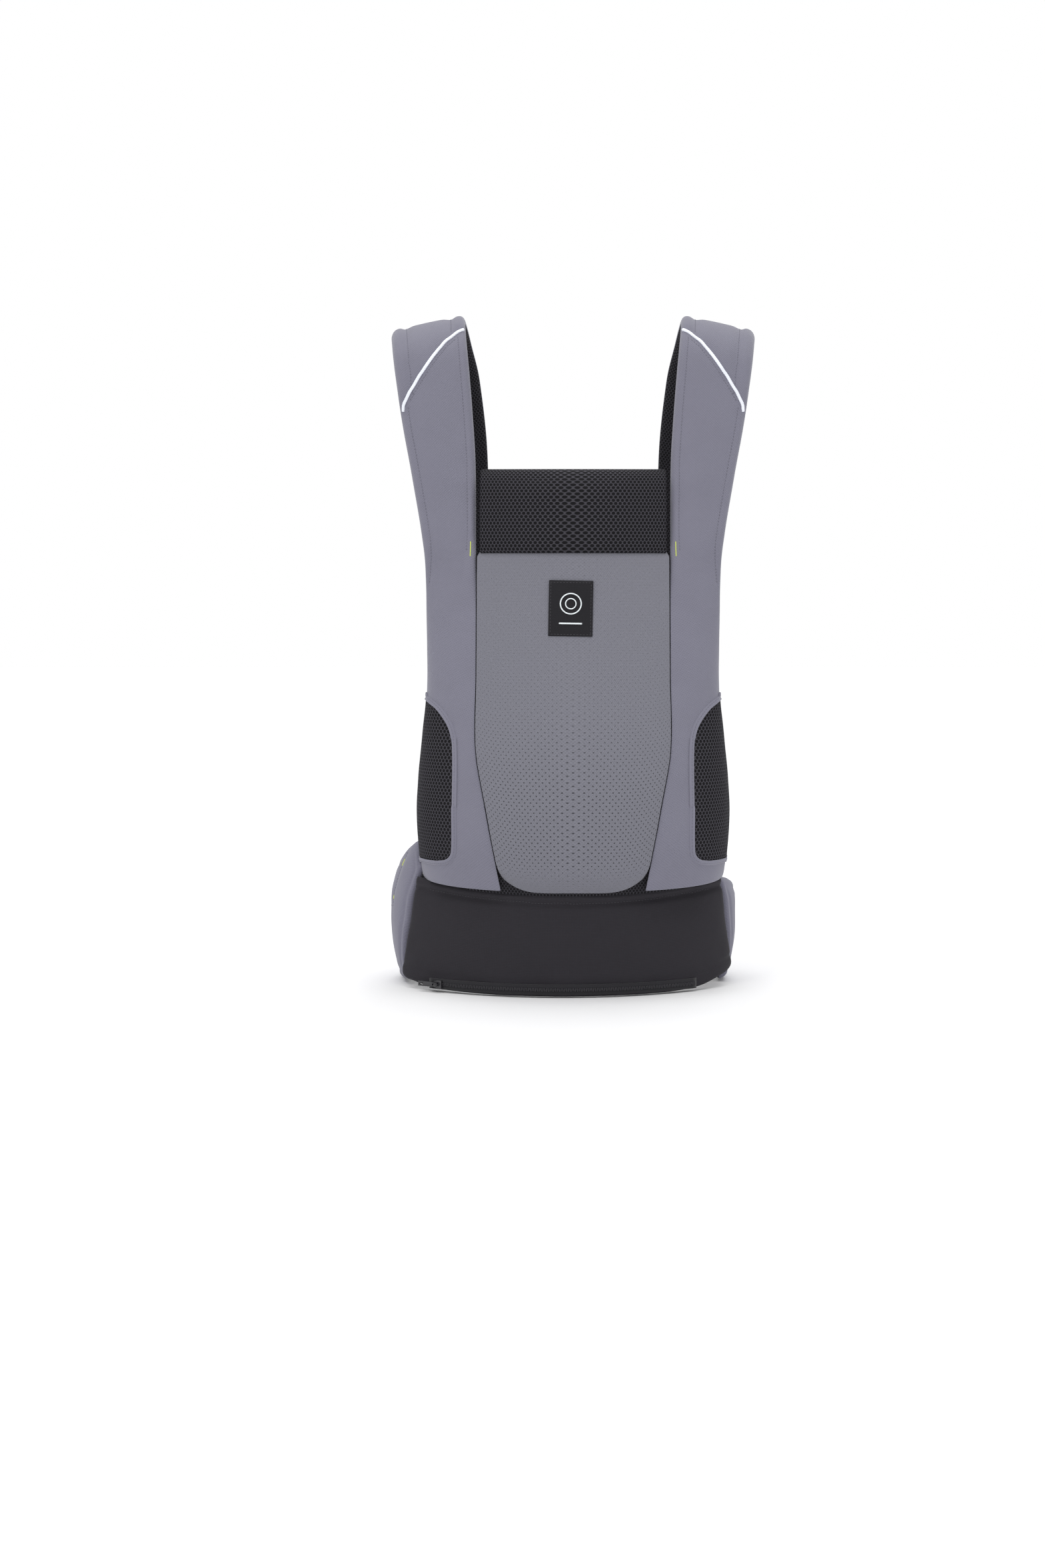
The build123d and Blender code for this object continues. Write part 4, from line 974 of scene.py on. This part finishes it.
class CARRIER_OT_label(bpy.types.Operator):
    """Woven label with two plain rings and a bar for its mark"""
    bl_idname = "carrier.label"
    bl_label = "Label"

    def execute(self, context):
        made = finishes()
        label = pad("woven_label", 16, 20,
                    lambda u, v, depth: label_place((u - 0.5) * LABEL_WIDTH, (v - 0.5) * LABEL_HEIGHT, depth - 2.2),
                    1.5, 1.0, [made["label"]], crumple=0.15)
        smoothed(label)
        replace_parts(label, "label_patch")
        mesh = bmesh.new()
        for radius, width in ((11.5, 1.3), (6.0, 1.1)):
            for vert in self.ring(mesh, 48, radius, width):
                vert.co = label_place(vert.co.x, vert.co.y + 5.0, -2.5 - vert.co.z)
        for vert in self.bar(mesh, 16):
            vert.co = label_place(vert.co.x * 24.0, vert.co.y * 1.6 - 16.0, -2.5 - vert.co.z)
        bmesh.ops.recalc_face_normals(mesh, faces=mesh.faces)
        mark = link("label_mark", mesh, [made["print"]])
        border = []
        a, b = LABEL_WIDTH / 2 - 2.2, LABEL_HEIGHT / 2 - 2.2
        corners = [(-a, -b), (a, -b), (a, b), (-a, b), (-a, -b)]
        for (a0, b0), (a1, b1) in zip(corners, corners[1:]):
            border.append([label_place(a0 + (a1 - a0) * k / 12, b0 + (b1 - b0) * k / 12, -2.2) for k in range(13)])
        stitching("label_stitch", border, surface_tree(label), made["black_thread"], width=0.6)
        return {"FINISHED"}

    def ring(self, mesh, segments, radius, width):
        """A flat raised ring lying in x and y."""
        outer = bmesh.ops.create_circle(mesh, segments=segments, radius=radius)["verts"]
        inner = bmesh.ops.create_circle(mesh, segments=segments, radius=radius - width)["verts"]
        edges = {edge for vert in outer + inner for edge in vert.link_edges}
        faces = bmesh.ops.bridge_loops(mesh, edges=list(edges))["faces"]
        return [*outer, *inner, *self.raised(mesh, faces)]

    def bar(self, mesh, segments):
        """A flat raised bar, one by one, lying in x and y."""
        flat = bmesh.ops.create_grid(mesh, x_segments=segments, y_segments=1, size=0.5)["verts"]
        faces = {face for vert in flat for face in vert.link_faces}
        return [*flat, *self.raised(mesh, list(faces))]

    def raised(self, mesh, faces):
        """Thickens flat faces upwards, and returns the new vertices."""
        parts = bmesh.ops.extrude_face_region(mesh, geom=faces)["geom"]
        tops = [part for part in parts if isinstance(part, bmesh.types.BMVert)]
        bmesh.ops.translate(mesh, verts=tops, vec=(0, 0, 0.3))
        return tops


class CARRIER_OT_hardware(bpy.types.Operator):
    """Finishes of the webbing, buckles, locks and keepers"""
    bl_idname = "carrier.hardware"
    bl_label = "Webbing and Buckles"

    def execute(self, context):
        made = finishes()
        kinds = {
            "strap_webbing": ("strap_tab", "strap_web", "anchor_web", "chest_rail"),
            "waist_webbing": ("waist_web", "chest_web"),
            "elastic": ("strap_keeper", "waist_keeper"),
            "acetal": ("ladder_lock", "side_socket", "side_plug", "side_prong", "waist_socket", "waist_plug",
                       "waist_prong", "chest_slider", "chest_socket", "chest_plug", "chest_prong"),
            "zip_metal": ("zip_slider", "zip_puller"),
        }
        for name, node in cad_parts.items():
            for finish, starts in kinds.items():
                if name.startswith(starts):
                    node.data.materials.clear()
                    node.data.materials.append(made[finish])
        return {"FINISHED"}


class CARRIER_OT_stage(bpy.types.Operator):
    """Pale floor, soft studio light and the camera"""
    bl_idname = "carrier.stage"
    bl_label = "Stage"

    def execute(self, context):
        scene = context.scene
        scene.view_settings.view_transform = "Standard"
        mesh = bmesh.new()
        bmesh.ops.create_circle(mesh, cap_ends=True, segments=96, radius=60.0)
        bmesh.ops.translate(mesh, verts=mesh.verts, vec=(0, 0, -0.0004))
        data = bpy.data.meshes.new("floor")
        mesh.to_mesh(data)
        mesh.free()
        floor = bpy.data.objects.new("floor", data)
        scene.collection.objects.link(floor)
        paper, tree, shader = material_of("matt_studio_paper", (0.93, 0.93, 0.935), 0.9)
        coords = add(tree, "TexCoord").outputs["Object"]
        grain = add(tree, "TexNoise", Vector=coords, Scale=400.0).outputs["Fac"]
        shade(tree, shader, (0.93, 0.93, 0.935), (0.90, 0.90, 0.91), grain, grain, 0.05 * MM, 0.1)
        data.materials.append(paper)
        world = bpy.data.worlds.new("studio")
        scene.world = world
        world.use_nodes = True
        tree = world.node_tree
        lit = tree.nodes["Background"]
        lit.inputs["Color"].default_value = (1, 1, 1, 1)
        lit.inputs["Strength"].default_value = 0.5
        seen = add(tree, "Background", (1, 1, 1, 1), 1.0)
        path = add(tree, "LightPath")
        mix = add(tree, "MixShader", path.outputs["Is Camera Ray"], lit, seen)
        tree.links.new(mix.outputs[0], tree.nodes["World Output"].inputs["Surface"])
        for name, place, size, power in (
                ("key", (-1.4, -1.8, 2.3), 1.2, 15.0),
                ("fill", (1.9, -1.5, 1.2), 1.8, 4.0),
                ("back", (0.4, 2.2, 1.5), 1.6, 9.0)):
            lamp = bpy.data.lights.new(name, "AREA")
            lamp.size, lamp.energy = size, power
            lamp.color = (1.0, 0.995, 0.985) if name == "key" else (0.98, 0.99, 1.0)
            light = bpy.data.objects.new(name, lamp)
            light.location = place
            light.rotation_euler = (Vector((0, 0, 0.35)) - Vector(place)).to_track_quat("-Z", "Y").to_euler()
            scene.collection.objects.link(light)
        lamp = bpy.data.lights.new("ceiling", "SUN")
        lamp.energy, lamp.angle = 2.05, radians(70)
        scene.collection.objects.link(bpy.data.objects.new("ceiling", lamp))
        lens = bpy.data.cameras.new("camera")
        lens.lens, lens.sensor_width = 41.5, 36.0
        lens.shift_x, lens.shift_y = -0.0323, -0.0812
        camera = bpy.data.objects.new("camera", lens)
        camera.location, camera.rotation_euler = (0.0, -2.015, 0.359), (pi / 2, 0.0, 0.0)
        scene.collection.objects.link(camera)
        scene.camera = camera
        return {"FINISHED"}


class CARRIER_PT_panel(bpy.types.Panel):
    """Lists the carrier's sizes, colours and pieces"""
    bl_idname = "CARRIER_PT_panel"
    bl_label = "Soft Baby Carrier"
    bl_space_type = "VIEW_3D"
    bl_region_type = "UI"
    bl_category = "Carrier"

    def draw(self, context):
        for group in (context.scene.carrier_sizes, context.scene.carrier_colours):
            box = self.layout.box()
            for name in group.__annotations__:
                box.prop(group, name)
        for operator in OPERATORS:
            self.layout.operator(operator.bl_idname)


OPERATORS = (CARRIER_OT_stage, CARRIER_OT_body, CARRIER_OT_straps, CARRIER_OT_windows, CARRIER_OT_belt,
             CARRIER_OT_zip, CARRIER_OT_label, CARRIER_OT_hardware)
CLASSES = (CarrierColours, CarrierSizes, *OPERATORS, CARRIER_PT_panel)


def register():
    for kind in CLASSES:
        bpy.utils.register_class(kind)
    bpy.types.Scene.carrier_sizes = PointerProperty(type=CarrierSizes)
    bpy.types.Scene.carrier_colours = PointerProperty(type=CarrierColours)


def unregister():
    del bpy.types.Scene.carrier_colours, bpy.types.Scene.carrier_sizes
    for kind in reversed(CLASSES):
        bpy.utils.unregister_class(kind)


def main():
    register()
    bpy.ops.carrier.stage()
    bpy.ops.carrier.body()
    bpy.ops.carrier.straps()
    bpy.ops.carrier.windows()
    bpy.ops.carrier.belt()
    bpy.ops.carrier.zip()
    bpy.ops.carrier.label()
    bpy.ops.carrier.hardware()


if __name__ == "__main__":
    main()
